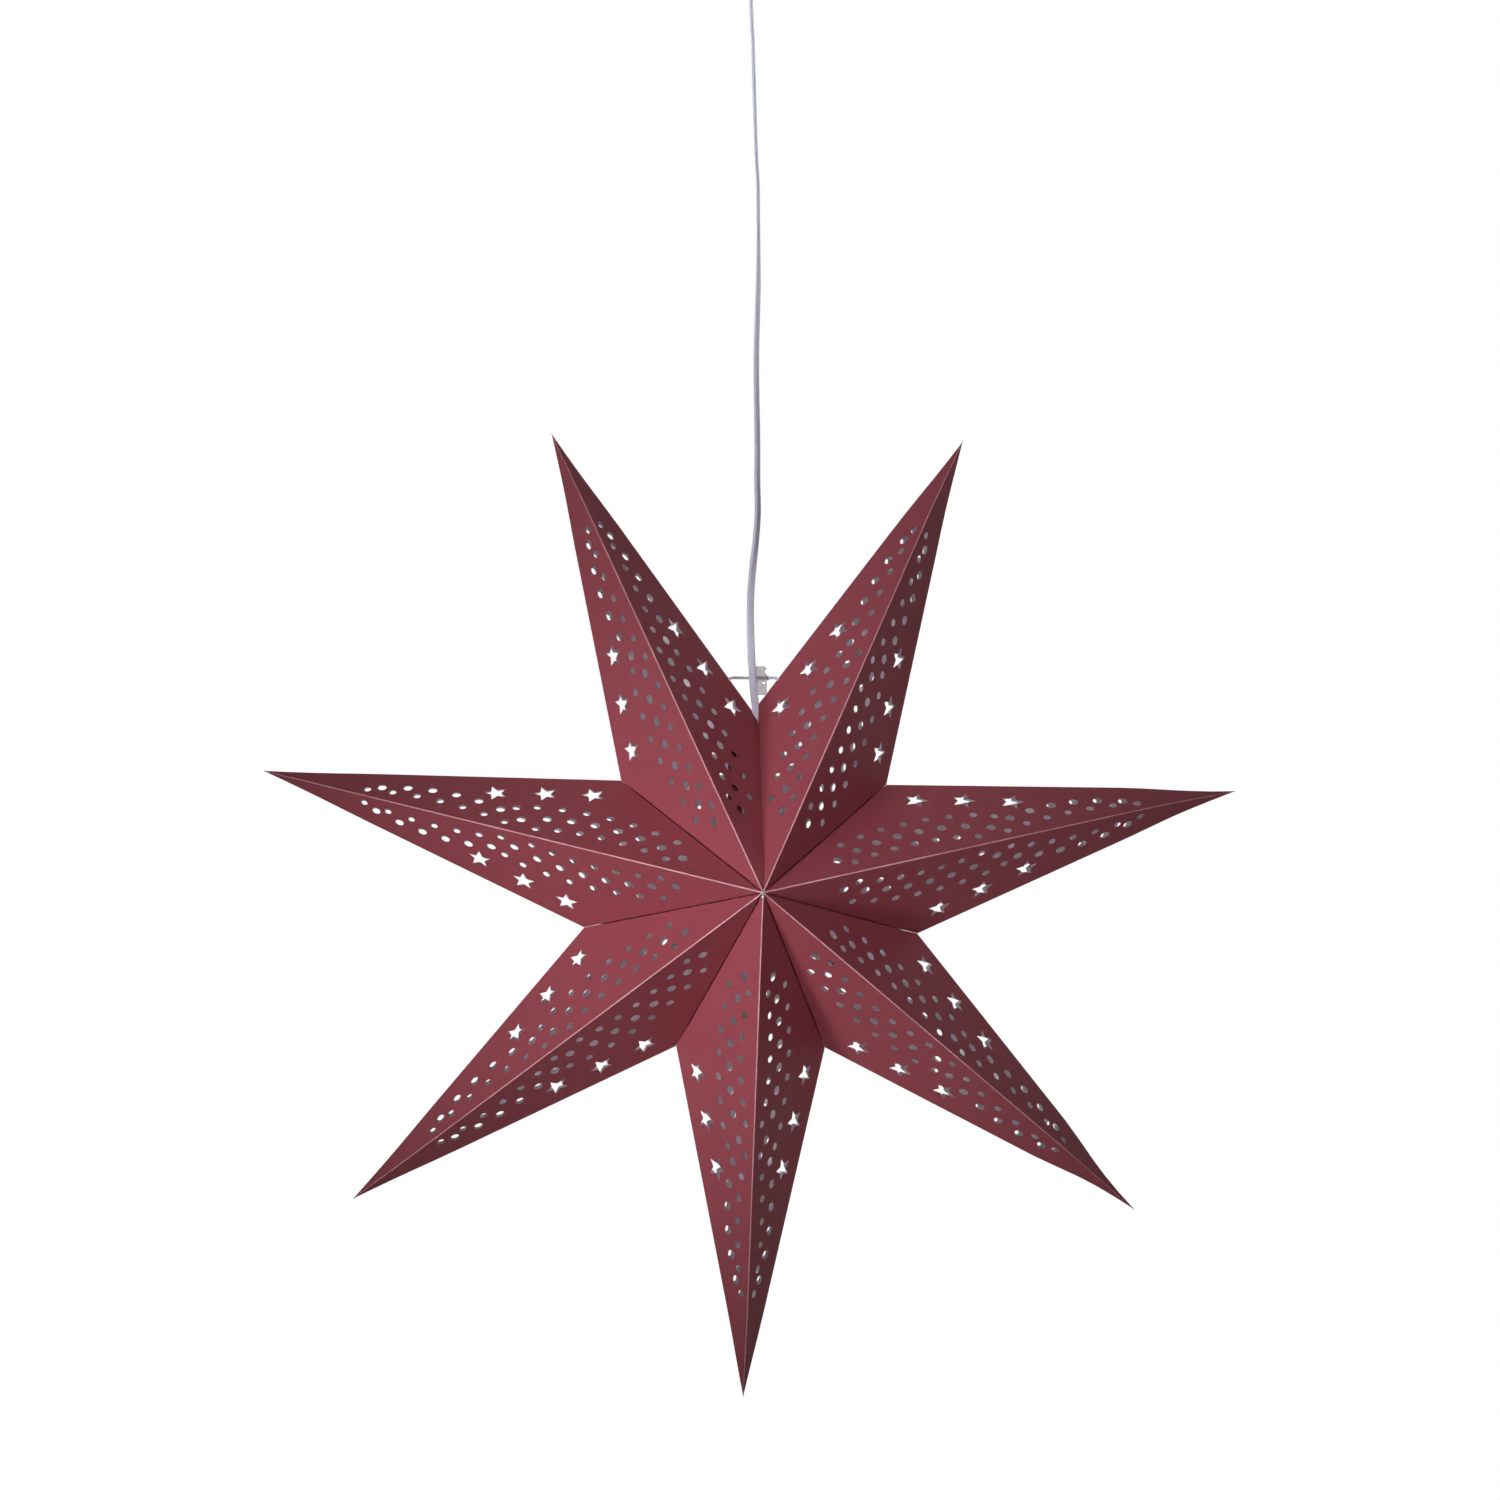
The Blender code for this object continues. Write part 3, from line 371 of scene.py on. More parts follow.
def cut_card():
    """The card's cut edge in a punched hole: white core fibres stained by the dyed face."""
    made, tree, shader = new_material("die_cut_card_edge", Roughness=0.9, IOR=1.5)
    place = add_node(tree, "ShaderNodeTexCoord").outputs["Object"]
    fibres = add_node(tree, "ShaderNodeTexNoise", {"Scale": 1 / (0.6 * MM), "Detail": 2.0},
                      {"Vector": place}).outputs["Fac"]
    colour = add_node(tree, "ShaderNodeMix", {FIRST: linear("#935F6A"), SECOND: linear("#C2A6AE")},
                      {SHARE: fibres}, data_type="RGBA").outputs[MIXED]
    tree.links.new(colour, shader.inputs["Base Color"])
    return made


def soft_pvc():
    """Soft PVC, extruded round the cores: satin cool white with faint streaks along its length."""
    made, tree, shader = new_material("extruded_pvc_white", Roughness=0.36, IOR=1.53, Coat_Weight=0.1)
    place = add_node(tree, "ShaderNodeTexCoord").outputs["Object"]
    drawn_out = add_node(tree, "ShaderNodeMapping", {"Scale": (1.0, 1.0, 0.12)},
                         {"Vector": place}).outputs["Vector"]
    streaks = add_node(tree, "ShaderNodeTexNoise", {"Scale": 1 / (1.2 * MM), "Detail": 3.0},
                       {"Vector": drawn_out}).outputs["Fac"]
    colour = add_node(tree, "ShaderNodeMix", {FIRST: linear("#CACBE2"), SECOND: linear("#E0E0F2")},
                      {SHARE: streaks}, data_type="RGBA").outputs[MIXED]
    tree.links.new(colour, shader.inputs["Base Color"])
    return made


def clear_styrene():
    """Crystal styrene, injection moulded: clear and glossy, greyed by flow haze."""
    made, tree, shader = new_material("moulded_styrene_clear", IOR=1.57, Transmission_Weight=0.55)
    place = add_node(tree, "ShaderNodeTexCoord").outputs["Object"]
    haze = add_node(tree, "ShaderNodeTexNoise", {"Scale": 1 / (2.5 * MM), "Detail": 2.0},
                    {"Vector": place}).outputs["Fac"]
    colour = add_node(tree, "ShaderNodeMix", {FIRST: linear("#8F8A8D"), SECOND: linear("#CFCBCE")},
                      {SHARE: haze}, data_type="RGBA").outputs[MIXED]
    tree.links.new(colour, shader.inputs["Base Color"])
    dulled = add_node(tree, "ShaderNodeMapRange", {"To Min": 0.08, "To Max": 0.34},
                      {"Value": haze}).outputs["Result"]
    tree.links.new(dulled, shader.inputs["Roughness"])
    return made


def moulded_plastic(name, dark, light, roughness, index, grain):
    """A white thermoplastic from a spark-finished mould: even satin with a very fine grain."""
    made, tree, shader = new_material(name, Roughness=roughness, IOR=index)
    place = add_node(tree, "ShaderNodeTexCoord").outputs["Object"]
    spark = add_node(tree, "ShaderNodeTexNoise", {"Scale": 1 / grain, "Detail": 2.0},
                     {"Vector": place}).outputs["Fac"]
    colour = add_node(tree, "ShaderNodeMix", {FIRST: linear(dark), SECOND: linear(light)},
                      {SHARE: spark}, data_type="RGBA").outputs[MIXED]
    tree.links.new(colour, shader.inputs["Base Color"])
    bump = add_node(tree, "ShaderNodeBump", {"Strength": 0.1, "Distance": 0.05 * MM},
                    {"Height": spark}).outputs["Normal"]
    tree.links.new(bump, shader.inputs["Normal"])
    return made


def opal_glass():
    """Opal glass, blown: milky all through under a smooth, glossy skin."""
    made, tree, shader = new_material(
        "blown_opal_glass", Roughness=0.1, IOR=1.52, Subsurface_Weight=0.3, Subsurface_Scale=4 * MM)
    place = add_node(tree, "ShaderNodeTexCoord").outputs["Object"]
    milk = add_node(tree, "ShaderNodeTexNoise", {"Scale": 1 / (14 * MM), "Detail": 2.0},
                    {"Vector": place}).outputs["Fac"]
    colour = add_node(tree, "ShaderNodeMix", {FIRST: linear("#EAE7E1"), SECOND: linear("#F4F3F0")},
                      {SHARE: milk}, data_type="RGBA").outputs[MIXED]
    tree.links.new(colour, shader.inputs["Base Color"])
    return made


def zinc_steel():
    """Sheet steel, zinc plated and pressed: satin grey with spangles about 3 mm across."""
    made, tree, shader = new_material("zinc_plated_steel", Metallic=1.0)
    place = add_node(tree, "ShaderNodeTexCoord").outputs["Object"]
    spangle = add_node(tree, "ShaderNodeTexNoise", {"Scale": 1 / (3 * MM), "Detail": 3.0},
                       {"Vector": place}).outputs["Fac"]
    colour = add_node(tree, "ShaderNodeMix", {FIRST: linear("#B2B4B6"), SECOND: linear("#CBCDCD")},
                      {SHARE: spangle}, data_type="RGBA").outputs[MIXED]
    tree.links.new(colour, shader.inputs["Base Color"])
    dulled = add_node(tree, "ShaderNodeMapRange", {"To Min": 0.24, "To Max": 0.46},
                      {"Value": spangle}).outputs["Result"]
    tree.links.new(dulled, shader.inputs["Roughness"])
    return made


def rolled_brass():
    """Brass sheet, rolled into the screw sleeve and the bulb's cap: yellow, lightly tarnished."""
    made, tree, shader = new_material("rolled_brass", Metallic=1.0)
    place = add_node(tree, "ShaderNodeTexCoord").outputs["Object"]
    tarnish = add_node(tree, "ShaderNodeTexNoise", {"Scale": 1 / (5 * MM), "Detail": 4.0},
                       {"Vector": place}).outputs["Fac"]
    colour = add_node(tree, "ShaderNodeMix", {FIRST: linear("#B8995C"), SECOND: linear("#D6BF88")},
                      {SHARE: tarnish}, data_type="RGBA").outputs[MIXED]
    tree.links.new(colour, shader.inputs["Base Color"])
    dulled = add_node(tree, "ShaderNodeMapRange", {"To Min": 0.2, "To Max": 0.42},
                      {"Value": tarnish}).outputs["Result"]
    tree.links.new(dulled, shader.inputs["Roughness"])
    return made


DYED_CARD = dyed_card()
BARE_CARD = bare_card()
CUT_CARD = cut_card()
SOFT_PVC = soft_pvc()
CLEAR_STYRENE = clear_styrene()
HOLDER_PBT = moulded_plastic("moulded_pbt_white", "#E4E3DE", "#ECEBE7", 0.36, 1.57, 0.7 * MM)
CUP_ABS = moulded_plastic("moulded_abs_white", "#E7E7E5", "#EFEFEE", 0.28, 1.54, 0.5 * MM)
BLOCK_NYLON = moulded_plastic("moulded_nylon_white", "#DAD8CF", "#E8E6DF", 0.45, 1.53, 0.9 * MM)
OPAL_GLASS = opal_glass()
ZINC_STEEL = zinc_steel()
ROLLED_BRASS = rolled_brass()


def add_piece(name, mesh, body, *looks):
    """Link a finished mesh as a piece that rides on a body."""
    made = bpy.data.objects.new(name, mesh)
    bpy.context.scene.collection.objects.link(made)
    for look in looks:
        mesh.materials.append(look)
    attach(made, body)
    return made


def from_star(across, height, depth=0.0):
    """A point given from the star's centre."""
    return STAR_CENTRE + Vector((across, depth, height))


def smooth_route(corners, step):
    """Points at an even step on a smooth curve through the given corners."""
    ends = [corners[0] * 2 - corners[1], *corners, corners[-1] * 2 - corners[-2]]
    fine = []
    for before, start, end, after in zip(ends, ends[1:], ends[2:], ends[3:]):
        parts = max(2, math.ceil((end - start).length / step * 4))
        for index in range(parts):
            t = index / parts
            fine.append(
                0.5 * (2 * start + (end - before) * t
                       + (2 * before - 5 * start + 4 * end - after) * t ** 2
                       + (3 * start - before - 3 * end + after) * t ** 3)
            )
    fine.append(corners[-1])
    length = sum((b - a).length for a, b in zip(fine, fine[1:]))
    count = math.ceil(length / step)
    even = [fine[0]]
    walked = 0.0
    for a, b in zip(fine, fine[1:]):
        stretch = (b - a).length
        while len(even) < count and walked + stretch >= length * len(even) / count:
            even.append(a.lerp(b, (length * len(even) / count - walked) / stretch))
        walked += stretch
    even.append(fine[-1])
    return even


def set_camera():
    """The photo's camera: a little to the left of the star's front axis."""
    data = bpy.data.cameras.new("photo_camera")
    data.sensor_width = SENSOR_WIDTH
    data.lens = FOCAL_PIXELS / FRAME_PIXELS * SENSOR_WIDTH
    data.shift_x = (FRAME_PIXELS / 2 - CENTRE_PIXEL[0]) / FRAME_PIXELS
    data.shift_y = (CENTRE_PIXEL[1] - FRAME_PIXELS / 2) / FRAME_PIXELS
    data.clip_end = 50.0
    camera = bpy.data.objects.new("photo_camera", data)
    bpy.context.scene.collection.objects.link(camera)
    turn = Matrix.Rotation(math.radians(CAMERA_YAW), 4, "Z") @ Matrix.Rotation(
        math.radians(CAMERA_PITCH), 4, "X")
    looking = Matrix.Translation((0.0, -CAMERA_REACH, 0.0)) @ Matrix.Rotation(math.pi / 2, 4, "X")
    camera.matrix_world = Matrix.Translation(STAR_CENTRE) @ turn.inverted() @ looking
    bpy.context.scene.camera = camera


def twist_at(height):
    """How far the flat lead has turned, at a height over the star's centre."""
    for (high, first), (low, second) in zip(CORD_TWIST, CORD_TWIST[1:]):
        if height >= low:
            share = min(1.0, (high - height) / (high - low))
            return first + (second - first) * share
    return CORD_TWIST[-1][1]


def lead_section():
    """The flat lead's outline: two round cores side by side with a groove between."""
    radius = CORD_THICK / 2
    offset = (CORD_WIDE - CORD_THICK) / 2
    corners = []
    for index in range(CORD_SIDES):
        turn = 2 * math.pi * index / CORD_SIDES
        across = math.cos(turn)
        waist = 1.0 - GROOVE_SHARE * math.exp(-((across * GROOVE_NARROWNESS) ** 2))
        corners.append((offset * max(-1.0, min(1.0, across * CORE_SPREAD)) + radius * across,
                        radius * math.sin(turn) * waist))
    return corners


def make_cord():
    """The hanging lead, twisting from edge-on at the top to flat by the clip."""
    low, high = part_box("cord")
    lamp_low, lamp_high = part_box("holder_cap")
    lamp_across = (lamp_low[0] + lamp_high[0]) / 2
    bottom = Vector((lamp_across, 0.0, low[2]))
    nose = Vector((lamp_across, 0.0, lamp_high[2] + HOLDER_NOSE))
    top = Vector((0.0, 0.0, high[2]))
    under_top = top - UP * CORD_STRAIGHT
    middle = [from_star(across, height) for across, height in CORD_ROUTE]
    route = smooth_route([top, under_top, *middle, nose, bottom], CORD_STEP)[::-1]
    section = lead_section()
    shape = bmesh.new()
    rings = []
    for index, point in enumerate(route):
        before = route[max(0, index - 1)]
        after = route[min(len(route) - 1, index + 1)]
        along = (after - before).normalized()
        side = Vector((1.0, 0.0, 0.0))
        side = (side - side.dot(along) * along).normalized()
        depth = along.cross(side)
        turn = math.radians(twist_at(point.z - STAR_CENTRE.z))
        wide = side * math.cos(turn) + depth * math.sin(turn)
        thick = along.cross(wide)
        rings.append([shape.verts.new(point + wide * x + thick * y) for x, y in section])
    for first, second in zip(rings, rings[1:]):
        for index in range(len(section)):
            after = (index + 1) % len(section)
            shape.faces.new((first[index], first[after], second[after], second[index]))
    shape.faces.new(rings[0][::-1])
    shape.faces.new(rings[-1])
    bmesh.ops.recalc_face_normals(shape, faces=shape.faces)
    mesh = bpy.data.meshes.new("flat_lead")
    shape.to_mesh(mesh)
    shape.free()
    mesh.shade_smooth()
    mesh.set_sharp_from_angle(angle=math.radians(LEAD_CREASE))
    lead = add_piece("flat_lead", mesh, "pendant", SOFT_PVC)
    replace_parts(lead, "cord")


def polar(turn, reach):
    """A point of the star's middle plane, clockwise from straight up."""
    return Vector((math.sin(turn) * reach, 0.0, math.cos(turn) * reach))


def smooth_step(value, low, high):
    """Rises smoothly from 0 at the low value to 1 at the high one."""
    share = max(0.0, min(1.0, (value - low) / (high - low)))
    return share * share * (3 - 2 * share)


def notch_of_ray(index, side):
    """Turn and reach of the notch on one side of a ray; the top seam's two differ."""
    if index == 1 and side < 0:
        return TOP_SEAM_TURN, NOTCH_RADIUS * TOP_SEAM_REACH_SHARE
    at = (index if side > 0 else index - 1) % len(RAY_NAMES)
    return NOTCH_TURNS[at], NOTCH_RADIUS * NOTCH_REACH_SHARES[at]


def round_hole(centre, radius):
    """The outline of a punched dot."""
    turns = [2 * math.pi * index / DOT_SIDES for index in range(DOT_SIDES)]
    return [(centre.x + radius * math.cos(t), centre.y + radius * math.sin(t)) for t in turns]


def star_hole(centre, point_way):
    """A five-pointed punched star, one point along the given way."""
    start = math.atan2(point_way.y, point_way.x)
    corners = []
    for index in range(2 * STAR_POINTS):
        reach = STAR_HOLE * (STAR_WAIST_SHARE if index % 2 else 1.0)
        turn = start + math.pi * index / STAR_POINTS
        corners.append((centre.x + reach * math.cos(turn), centre.y + reach * math.sin(turn)))
    return corners


def filled_outline(outlines, thickness):
    """A flat slab with holes, from closed outlines, its middle at height 0."""
    curve = bpy.data.curves.new("card_outline", "CURVE")
    curve.dimensions = "2D"
    curve.fill_mode = "BOTH"
    curve.extrude = thickness / 2
    for outline in outlines:
        spline = curve.splines.new("POLY")
        spline.points.add(len(outline) - 1)
        for point, (across, up) in zip(spline.points, outline):
            point.co = (across, up, 0.0, 1.0)
        spline.use_cyclic_u = True
    guide = bpy.data.objects.new("card_outline", curve)
    bpy.context.scene.collection.objects.link(guide)
    bpy.context.view_layer.update()
    mesh = bpy.data.meshes.new_from_object(guide.evaluated_get(bpy.context.evaluated_depsgraph_get()))
    bpy.data.objects.remove(guide, do_unlink=True)
    shape = bmesh.new()
    shape.from_mesh(mesh)
    bpy.data.meshes.remove(mesh)
    bmesh.ops.remove_doubles(shape, verts=shape.verts, dist=WELD_DISTANCE)
    bmesh.ops.recalc_face_normals(shape, faces=shape.faces)
    return shape


def dots_along(first, middle, last):
    """Evenly stepped places on the arch through three of its dots."""
    places = []
    for index in range(DOTS_IN_ARCH):
        step = index / (DOTS_IN_ARCH - 1)
        shares = ((1 - step) * (1 - 2 * step), 4 * step * (1 - step), step * (2 * step - 1))
        places.append([sum(share * dot[axis] for share, dot in zip(shares, (first, middle, last)))
                       for axis in (0, 1)])
    return places


class Panel:
    """One of a ray's four flat panels, in its own plane: along its ridge, and across."""

    def __init__(self, ray, side, depth):
        turn, reach = notch_of_ray(ray, side)
        self.tip = Vector((0.0, 0.0, STAR_RADIUS * TIP_REACH_SHARES[ray]))
        self.peak = Vector((0.0, depth * STAR_HALF_DEPTH, 0.0))
        self.corner = polar(math.radians(turn - TIP_TURNS[ray]), reach)
        self.along = (self.peak - self.tip).normalized()
        way = self.corner - self.tip
        rise = way - way.dot(self.along) * self.along
        self.across = rise.normalized()
        self.length = (self.peak - self.tip).length
        self.height = rise.length
        self.notch = Vector((way.dot(self.along), self.height))
        self.fold_way = self.notch.normalized()
        self.end = Vector((self.length, 0.0))
        self.seam_way = (self.notch - self.end).normalized()
        self.normal = self.along.cross(self.across)
        self.face = 1.0 if self.normal.dot(self.tip) > 0 else -1.0
        self.seed = ray * 4.0 + side + depth * 0.5
        self.closing = ray == 0 and side == 1 and depth == -1
        self.closed_over = ray == 1 and side == -1 and depth == -1
        self.pinch = TIP_PINCHES[ray]
        self.bend = TIP_BENDS[ray]
        self.ridge_out = Vector((0.0, depth * STAR_RADIUS, STAR_HALF_DEPTH)).normalized()
        self.ridge_tilt = math.sqrt(1.0 - self.normal.dot(self.ridge_out) ** 2)

    def at(self, along_share, across_share):
        """A place in the panel's plane, from its shares along the ridge and across."""
        return Vector((along_share * self.length, across_share * self.height))

    def outlines(self):
        """The panel's edge and its punched holes."""
        short = SEAM_GAP / 2 + (CLOSING_SHORT if self.closing else 0.0)
        inset = Vector((short / self.seam_way.y, 0.0))
        edge = [(0.0, 0.0)]
        for way_out, share in SEAM_OPENING:
            edge.append(tuple(self.end.lerp(self.notch, way_out) - inset * share))
        holes = []
        for arches, radius in ((SMALL_ARCHES, SMALL_DOT), (LARGE_ARCHES, LARGE_DOT)):
            for arch in arches:
                for shares in dots_along(*arch):
                    holes.append(round_hole(self.at(*shares), radius))
        holes.append(round_hole(self.at(*JOINING_DOT), SMALL_DOT))
        for shares in STAR_HOLES:
            holes.append(star_hole(self.at(*shares), -self.fold_way))
        return [edge, *holes]

    def from_fold(self, place):
        """How far a place lies from the side fold."""
        return place.x * self.fold_way.y - place.y * self.fold_way.x

    def from_seam(self, place):
        """How far a place lies from the seam with the next ray."""
        to_place = place - self.end
        return abs(to_place.x * self.seam_way.y - to_place.y * self.seam_way.x)

    def lift(self, place):
        """How far the card stands out of its plane: it is never quite flat."""
        inside = min(place.y, self.from_fold(place), self.from_seam(place))
        wave = noise.noise(Vector((place.x / WAVE_ALONG, place.y / WAVE_ACROSS, self.seed)))
        lifted = WAVE_HEIGHT * wave * smooth_step(inside, 0.0, WAVE_FULL)
        if self.closing:
            near_seam = 1.0 - smooth_step(self.from_seam(place), 0.0, LIFT_FROM_SEAM)
            off_ridge = smooth_step(place.y, 0.0, LIFT_FROM_RIDGE)
            off_fold = smooth_step(self.from_fold(place), 0.0, LIFT_FROM_FOLD)
            lifted += SEAM_LIFT * near_seam * off_ridge * off_fold
        return lifted

    def world(self, place, out):
        """A point of the panel, a distance out of its face, in the ray's own frame."""
        lifted = (self.lift(place) + out) * self.face
        point = self.tip + self.along * place.x + self.across * place.y + self.normal * lifted
        flattened = max(0.0, FOLD_WIDTH - place.y) * self.ridge_tilt
        flattened *= smooth_step(place.x, FOLD_START, FOLD_FULL)
        point -= self.ridge_out * flattened
        from_tip = self.tip.z - point.z
        width = self.pinch + (1 - self.pinch) * smooth_step(from_tip, 0.0, PINCH_END)
        aside = self.bend * (1.0 - smooth_step(from_tip, 0.0, BEND_END))
        return Vector((point.x * width + aside, point.y * width, point.z))


def panel_card(panel, outlines, behind=0.0):
    """Corners, faces, looks and map values of a piece of card in a panel's plane."""
    shape = filled_outline(outlines, CARD_THICKNESS)
    for axis, size in ((0, panel.length), (1, panel.height)):
        cuts = [index * GRID_STEP for index in range(1, int(size / GRID_STEP) + 1)]
        for cut in ([FOLD_WIDTH, *cuts] if axis else cuts):
            at = [0.0, 0.0, 0.0]
            at[axis] = cut
            way = [0.0, 0.0, 0.0]
            way[axis] = 1.0
            everything = shape.verts[:] + shape.edges[:] + shape.faces[:]
            bmesh.ops.bisect_plane(shape, geom=everything, dist=CUT_DISTANCE, plane_co=at, plane_no=way)
    corners = []
    values = []
    for index, vert in enumerate(shape.verts):
        vert.index = index
        place = Vector((vert.co.x, vert.co.y))
        corners.append(panel.world(place, vert.co.z * panel.face - CARD_THICKNESS / 2 - behind))
        values.append((place.x, place.y, panel.from_fold(place), panel.from_seam(place)))
    faces = []
    looks = []
    for face in shape.faces:
        rise = face.normal.z * panel.face
        middle = face.calc_center_median()
        place = Vector((middle.x, middle.y))
        rim = min(place.y, panel.from_fold(place), panel.from_seam(place))
        if abs(rise) > 0.5:
            looks.append(DYED_LOOK if rise > 0 else BARE_LOOK)
        else:
            looks.append(DYED_LOOK if rim < RIM_WIDTH else CUT_LOOK)
        faces.append([vert.index for vert in face.verts])
    shape.free()
    return corners, faces, looks, values


def seam_flap(panel):
    """A glue flap, folded in along the seam with its dyed side against its neighbour."""
    way = (panel.corner - panel.peak).normalized()
    inward = panel.corner.dot(way) * way - panel.corner
    inward.normalize()
    off_seam = Vector((0.0, 1.0, 0.0)).cross(panel.corner).normalized()
    if off_seam.z < 0:
        off_seam = -off_seam
    length = (panel.corner - panel.peak).length
    outline = (
        (FLAP_FROM_PEAK, FLAP_SINK, SEAM_GAP / 2), (length - FLAP_FROM_NOTCH, FLAP_SINK, SEAM_GAP / 2),
        (length - FLAP_TAPER, FLAP_DEPTH, FLAP_SHUT), (FLAP_TAPER, FLAP_DEPTH, FLAP_SHUT),
    )
    sheet = []
    for back in (0.0, CARD_THICKNESS):
        for far, deep, off in outline:
            sheet.append(panel.peak + way * far + inward * deep + off_seam * (off + back))
    faces = [[0, 1, 2, 3], [7, 6, 5, 4], [0, 4, 5, 1], [1, 5, 6, 2], [2, 6, 7, 3], [3, 7, 4, 0]]
    away = panel.length / 2
    looks = [DYED_LOOK, BARE_LOOK, DYED_LOOK, DYED_LOOK, DYED_LOOK, DYED_LOOK]
    return sheet, faces, looks, [(away, away, away, away)] * len(sheet)


def make_ray(index):
    """One ray of the star, folded from dyed card that is white inside."""
    parts = []
    for side in (-1, 1):
        for depth in (-1, 1):
            panel = Panel(index, side, depth)
            parts.append(panel_card(panel, panel.outlines()))
            parts.append(seam_flap(panel))
            if panel.closed_over:
                host = Panel(0, 1, -1)
                tab = panel_card(host, [[tuple(host.at(*shares)) for shares in TAB_SHARES]],
                                 CARD_THICKNESS + TAB_BEHIND)
                turn = Matrix.Rotation(math.radians(TIP_TURNS[0] - TIP_TURNS[1]), 3, "Y")
                parts.append(([turn @ corner for corner in tab[0]], *tab[1:]))
    corners, faces, looks, values = [], [], [], []
    turn = Matrix.Rotation(math.radians(TIP_TURNS[index]), 3, "Y")
    for add_corners, add_faces, add_looks, add_values in parts:
        start = len(corners)
        corners += [STAR_CENTRE + turn @ corner for corner in add_corners]
        faces += [[start + at for at in ring] for ring in add_faces]
        looks += add_looks
        values += add_values
    name = f"card_{RAY_NAMES[index]}"
    mesh = bpy.data.meshes.new(name)
    mesh.from_pydata(corners, [], faces)
    mesh.polygons.foreach_set("material_index", looks)
    spans = mesh.uv_layers.new(name="spans")
    rims = mesh.uv_layers.new(name="rims")
    for loop in mesh.loops:
        value = values[loop.vertex_index]
        spans.data[loop.index].uv = value[:2]
        rims.data[loop.index].uv = value[2:]
    shape = bmesh.new()
    shape.from_mesh(mesh)
    bmesh.ops.recalc_face_normals(shape, faces=shape.faces)
    shape.to_mesh(mesh)
    shape.free()
    mesh.shade_smooth()
    mesh.set_sharp_from_angle(angle=math.radians(CARD_CREASE))
    ray = add_piece(name, mesh, RAY_BODIES[index], DYED_CARD, BARE_CARD, CUT_CARD)
    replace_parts(ray, RAY_NAMES[index])
    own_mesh(ray)


def make_cup():
    """The ceiling cup, turned smooth round the solid's own height and width."""
    low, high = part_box("ceiling_cup")
    middle = Vector(((low[0] + high[0]) / 2, (low[1] + high[1]) / 2, 0.0))
    outer = (high[1] - low[1]) / 2
    profile = [(outer, high[2])]
    for index in range(CUP_BEND_STEPS + 1):
        turn = math.pi / 2 * index / CUP_BEND_STEPS
        profile.append((outer - CUP_BEND * (1 - math.cos(turn)), low[2] + CUP_BEND * (1 - math.sin(turn))))
    profile += [(CUP_MOUTH_RADIUS, low[2]), (CUP_MOUTH_RADIUS, low[2] + CUP_WALL)]
    for index in range(CUP_BEND_STEPS, -1, -1):
        turn = math.pi / 2 * index / CUP_BEND_STEPS
        profile.append((outer - CUP_BEND + (CUP_BEND - CUP_WALL) * math.cos(turn),
                        low[2] + CUP_BEND - (CUP_BEND - CUP_WALL) * math.sin(turn)))
    profile.append((outer - CUP_WALL, high[2]))
    corners, faces = [], []
    for side in range(CUP_SIDES):
        turn = 2 * math.pi * side / CUP_SIDES
        for radius, height in profile:
            corners.append(middle + Vector((radius * math.cos(turn), radius * math.sin(turn), height)))
    count = len(profile)
    for side in range(CUP_SIDES):
        here, there = side * count, (side + 1) % CUP_SIDES * count
        for at in range(count):
            after = (at + 1) % count
            faces.append((here + at, there + at, there + after, here + after))
    mesh = bpy.data.meshes.new("moulded_cup")
    mesh.from_pydata(corners, [], faces)
    shape = bmesh.new()
    shape.from_mesh(mesh)
    bmesh.ops.recalc_face_normals(shape, faces=shape.faces)
    shape.to_mesh(mesh)
    shape.free()
    mesh.shade_smooth()
    mesh.set_sharp_from_angle(angle=math.radians(CUP_CREASE))
    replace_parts(add_piece("moulded_cup", mesh, "ceiling", CUP_ABS), "ceiling_cup")


def dress_nodes():
    """Real finishes on the solids that stay."""
    looks = {
        "hanger_wire": SOFT_PVC, "cord_clip": CLEAR_STYRENE, "cord_neck": SOFT_PVC,
        "cord_tail": SOFT_PVC, "holder_cap": HOLDER_PBT, "holder_shell": HOLDER_PBT,
        "holder_core": HOLDER_PBT, "screw_sleeve": ROLLED_BRASS, "contact_tongue": ROLLED_BRASS,
        "bulb_glass": OPAL_GLASS, "bulb_cap": ROLLED_BRASS, "bulb_contact": ZINC_STEEL,
        "ceiling_bracket": ZINC_STEEL, "cup_screw_left": ZINC_STEEL,
        "cup_screw_right": ZINC_STEEL, "cord_grip": BLOCK_NYLON, "grip_nut": BLOCK_NYLON,
        "terminal_block": BLOCK_NYLON,
    }
    for name, look in looks.items():
        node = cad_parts[name]
        node.data.materials.clear()
        node.data.materials.append(look)


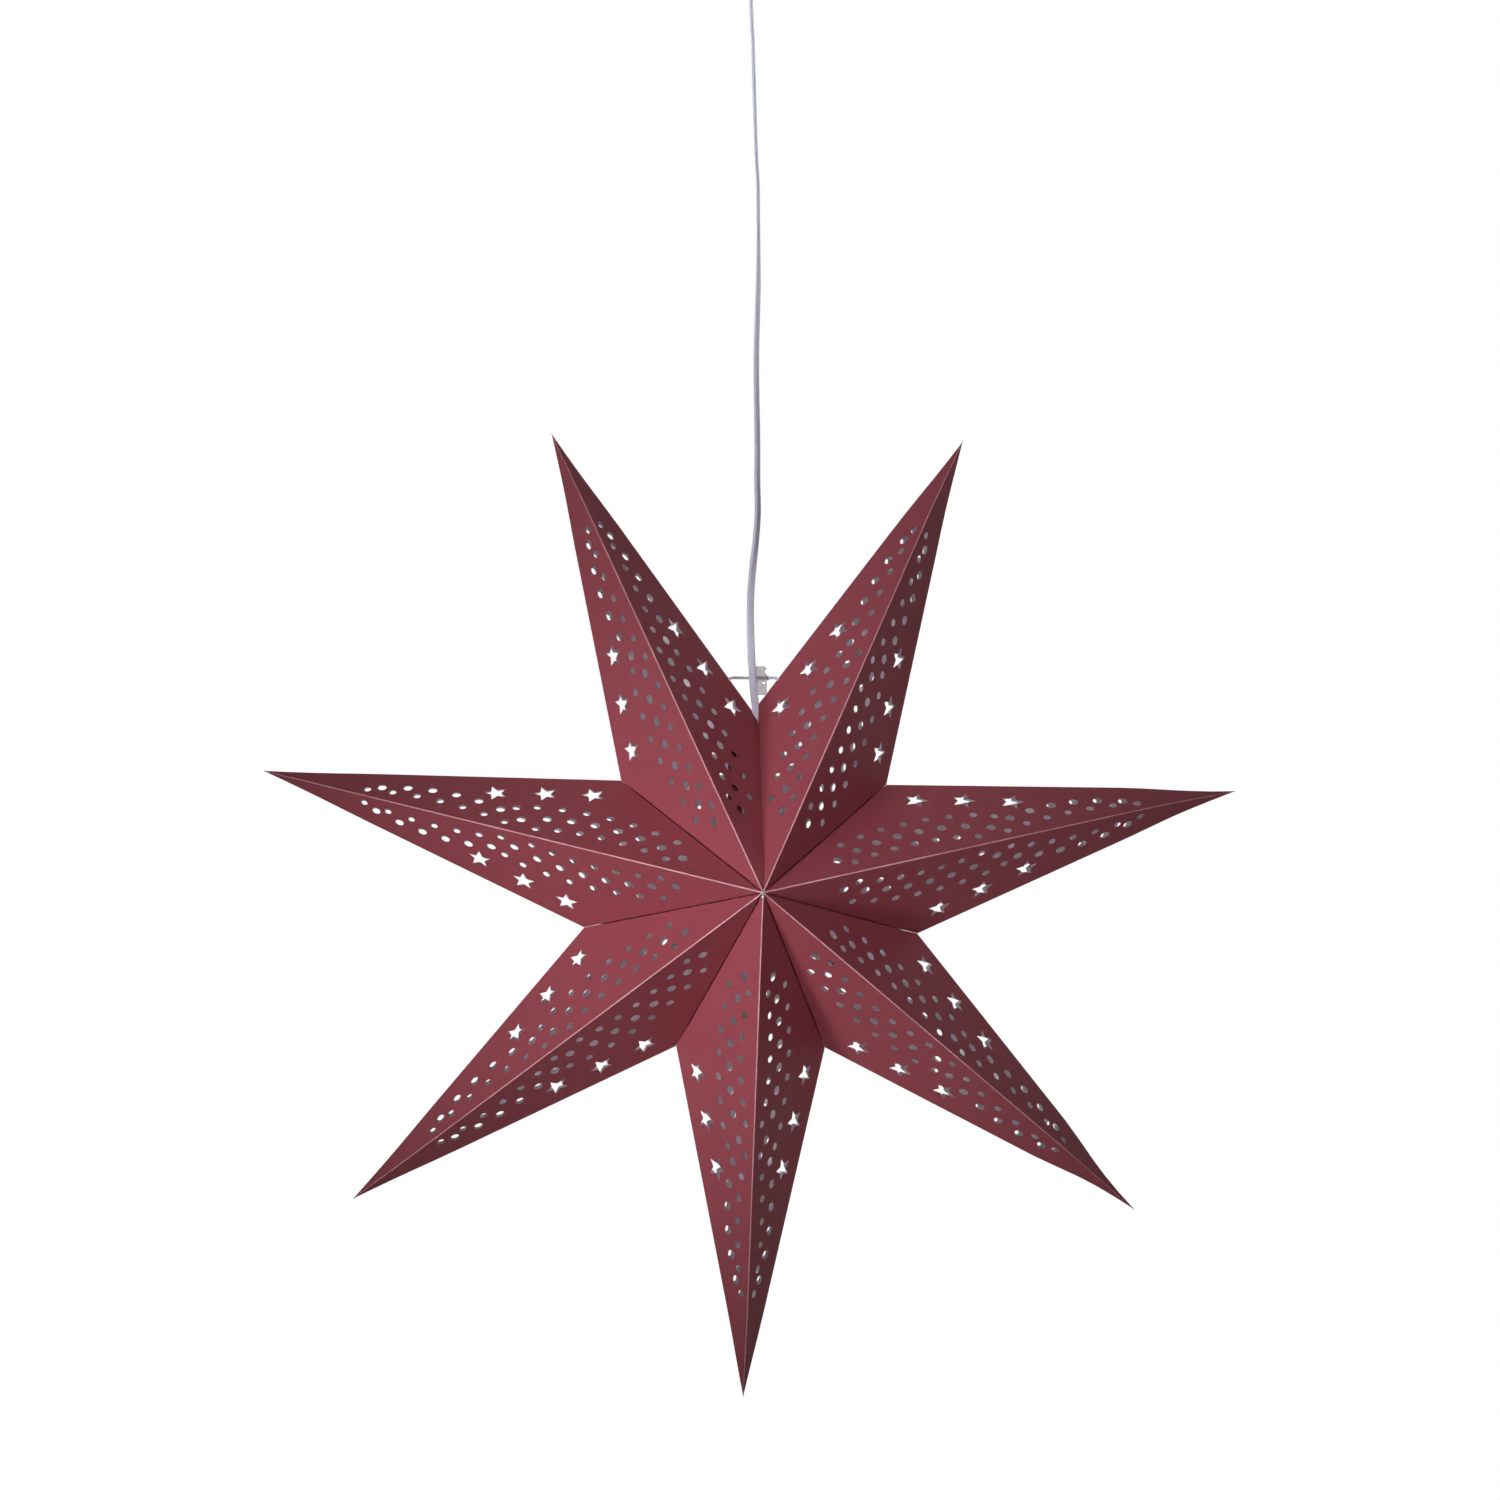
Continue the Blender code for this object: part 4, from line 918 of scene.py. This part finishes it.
def set_light():
    """Soft boxes for the star, its lead and its cup, and a glowing backdrop in a dim room.

    The room is seen as white, though nearly all of its own light comes from the backdrop.
    """
    world = bpy.data.worlds.new("white_studio")
    bpy.context.scene.world = world
    world.use_nodes = True
    tree = world.node_tree
    way = add_node(tree, "ShaderNodeTexCoord").outputs["Generated"]
    backward = add_node(tree, "ShaderNodeSeparateXYZ", links={"Vector": way}).outputs["Y"]
    level = add_node(tree, "ShaderNodeMapRange",
                     {"From Min": BACKDROP_START, "From Max": BACKDROP_FULL,
                      "To Min": ROOM_LEVEL, "To Max": BACKDROP_LEVEL},
                     {"Value": backward}).outputs["Result"]
    level = add_node(tree, "ShaderNodeMath", links={0: level, 1: seeing_rays(tree)},
                     operation="MAXIMUM").outputs[0]
    background = tree.nodes["Background"]
    background.inputs["Color"].default_value = (1.0, 1.0, 1.0, 1.0)
    tree.links.new(level, background.inputs["Strength"])

    for name, round_turn, rise, reach, across, beam, over, watts in LIGHTS:
        soft = bpy.data.lights.new(name, "AREA")
        soft.size = across
        soft.spread = math.radians(beam)
        soft.energy = watts
        box = bpy.data.objects.new(name, soft)
        box.visible_camera = False
        bpy.context.scene.collection.objects.link(box)
        turn, rise = math.radians(round_turn), math.radians(rise)
        way = Vector((math.sin(turn) * math.cos(rise), -math.cos(turn) * math.cos(rise), math.sin(rise)))
        box.location = STAR_CENTRE + UP * over + way * reach
        box.rotation_euler = way.to_track_quat("Z", "Y").to_euler()


def make_floor():
    """A plain pale floor, a room's height below the ceiling, that is clear from below."""
    shape = bmesh.new()
    bmesh.ops.create_circle(shape, cap_ends=True, segments=FLOOR_SIDES, radius=FLOOR_RADIUS)
    mesh = bpy.data.meshes.new("studio_floor")
    shape.to_mesh(mesh)
    shape.free()
    made, tree, shader = new_material("painted_floor_white", Roughness=0.7)
    place = add_node(tree, "ShaderNodeTexCoord").outputs["Object"]
    roller = add_node(tree, "ShaderNodeTexNoise", {"Scale": 1 / (40 * MM)},
                      {"Vector": place}).outputs["Fac"]
    colour = add_node(tree, "ShaderNodeMix", {FIRST: linear("#F2F1F0"), SECOND: linear("#F6F5F4")},
                      {SHARE: roller}, data_type="RGBA").outputs[MIXED]
    tree.links.new(colour, shader.inputs["Base Color"])
    tree.links.new(colour, shader.inputs["Emission Color"])
    glow = add_node(tree, "ShaderNodeMapRange", {"To Max": FLOOR_LEVEL},
                    {"Value": seeing_rays(tree)}).outputs["Result"]
    tree.links.new(glow, shader.inputs["Emission Strength"])
    from_below = add_node(tree, "ShaderNodeNewGeometry").outputs["Backfacing"]
    clear = add_node(tree, "ShaderNodeBsdfTransparent").outputs["BSDF"]
    choose = add_node(tree, "ShaderNodeMixShader",
                      links={0: from_below, 1: shader.outputs["BSDF"], 2: clear}).outputs["Shader"]
    tree.links.new(choose, tree.nodes["Material Output"].inputs["Surface"])
    mesh.materials.append(made)
    floor = bpy.data.objects.new("studio_floor", mesh)
    floor.location = UP * FLOOR_HEIGHT
    bpy.context.scene.collection.objects.link(floor)


set_camera()
make_cord()
for ray_index in range(len(RAY_NAMES)):
    make_ray(ray_index)
make_cup()
dress_nodes()
set_light()
make_floor()
bpy.context.scene.view_settings.view_transform = "Standard"
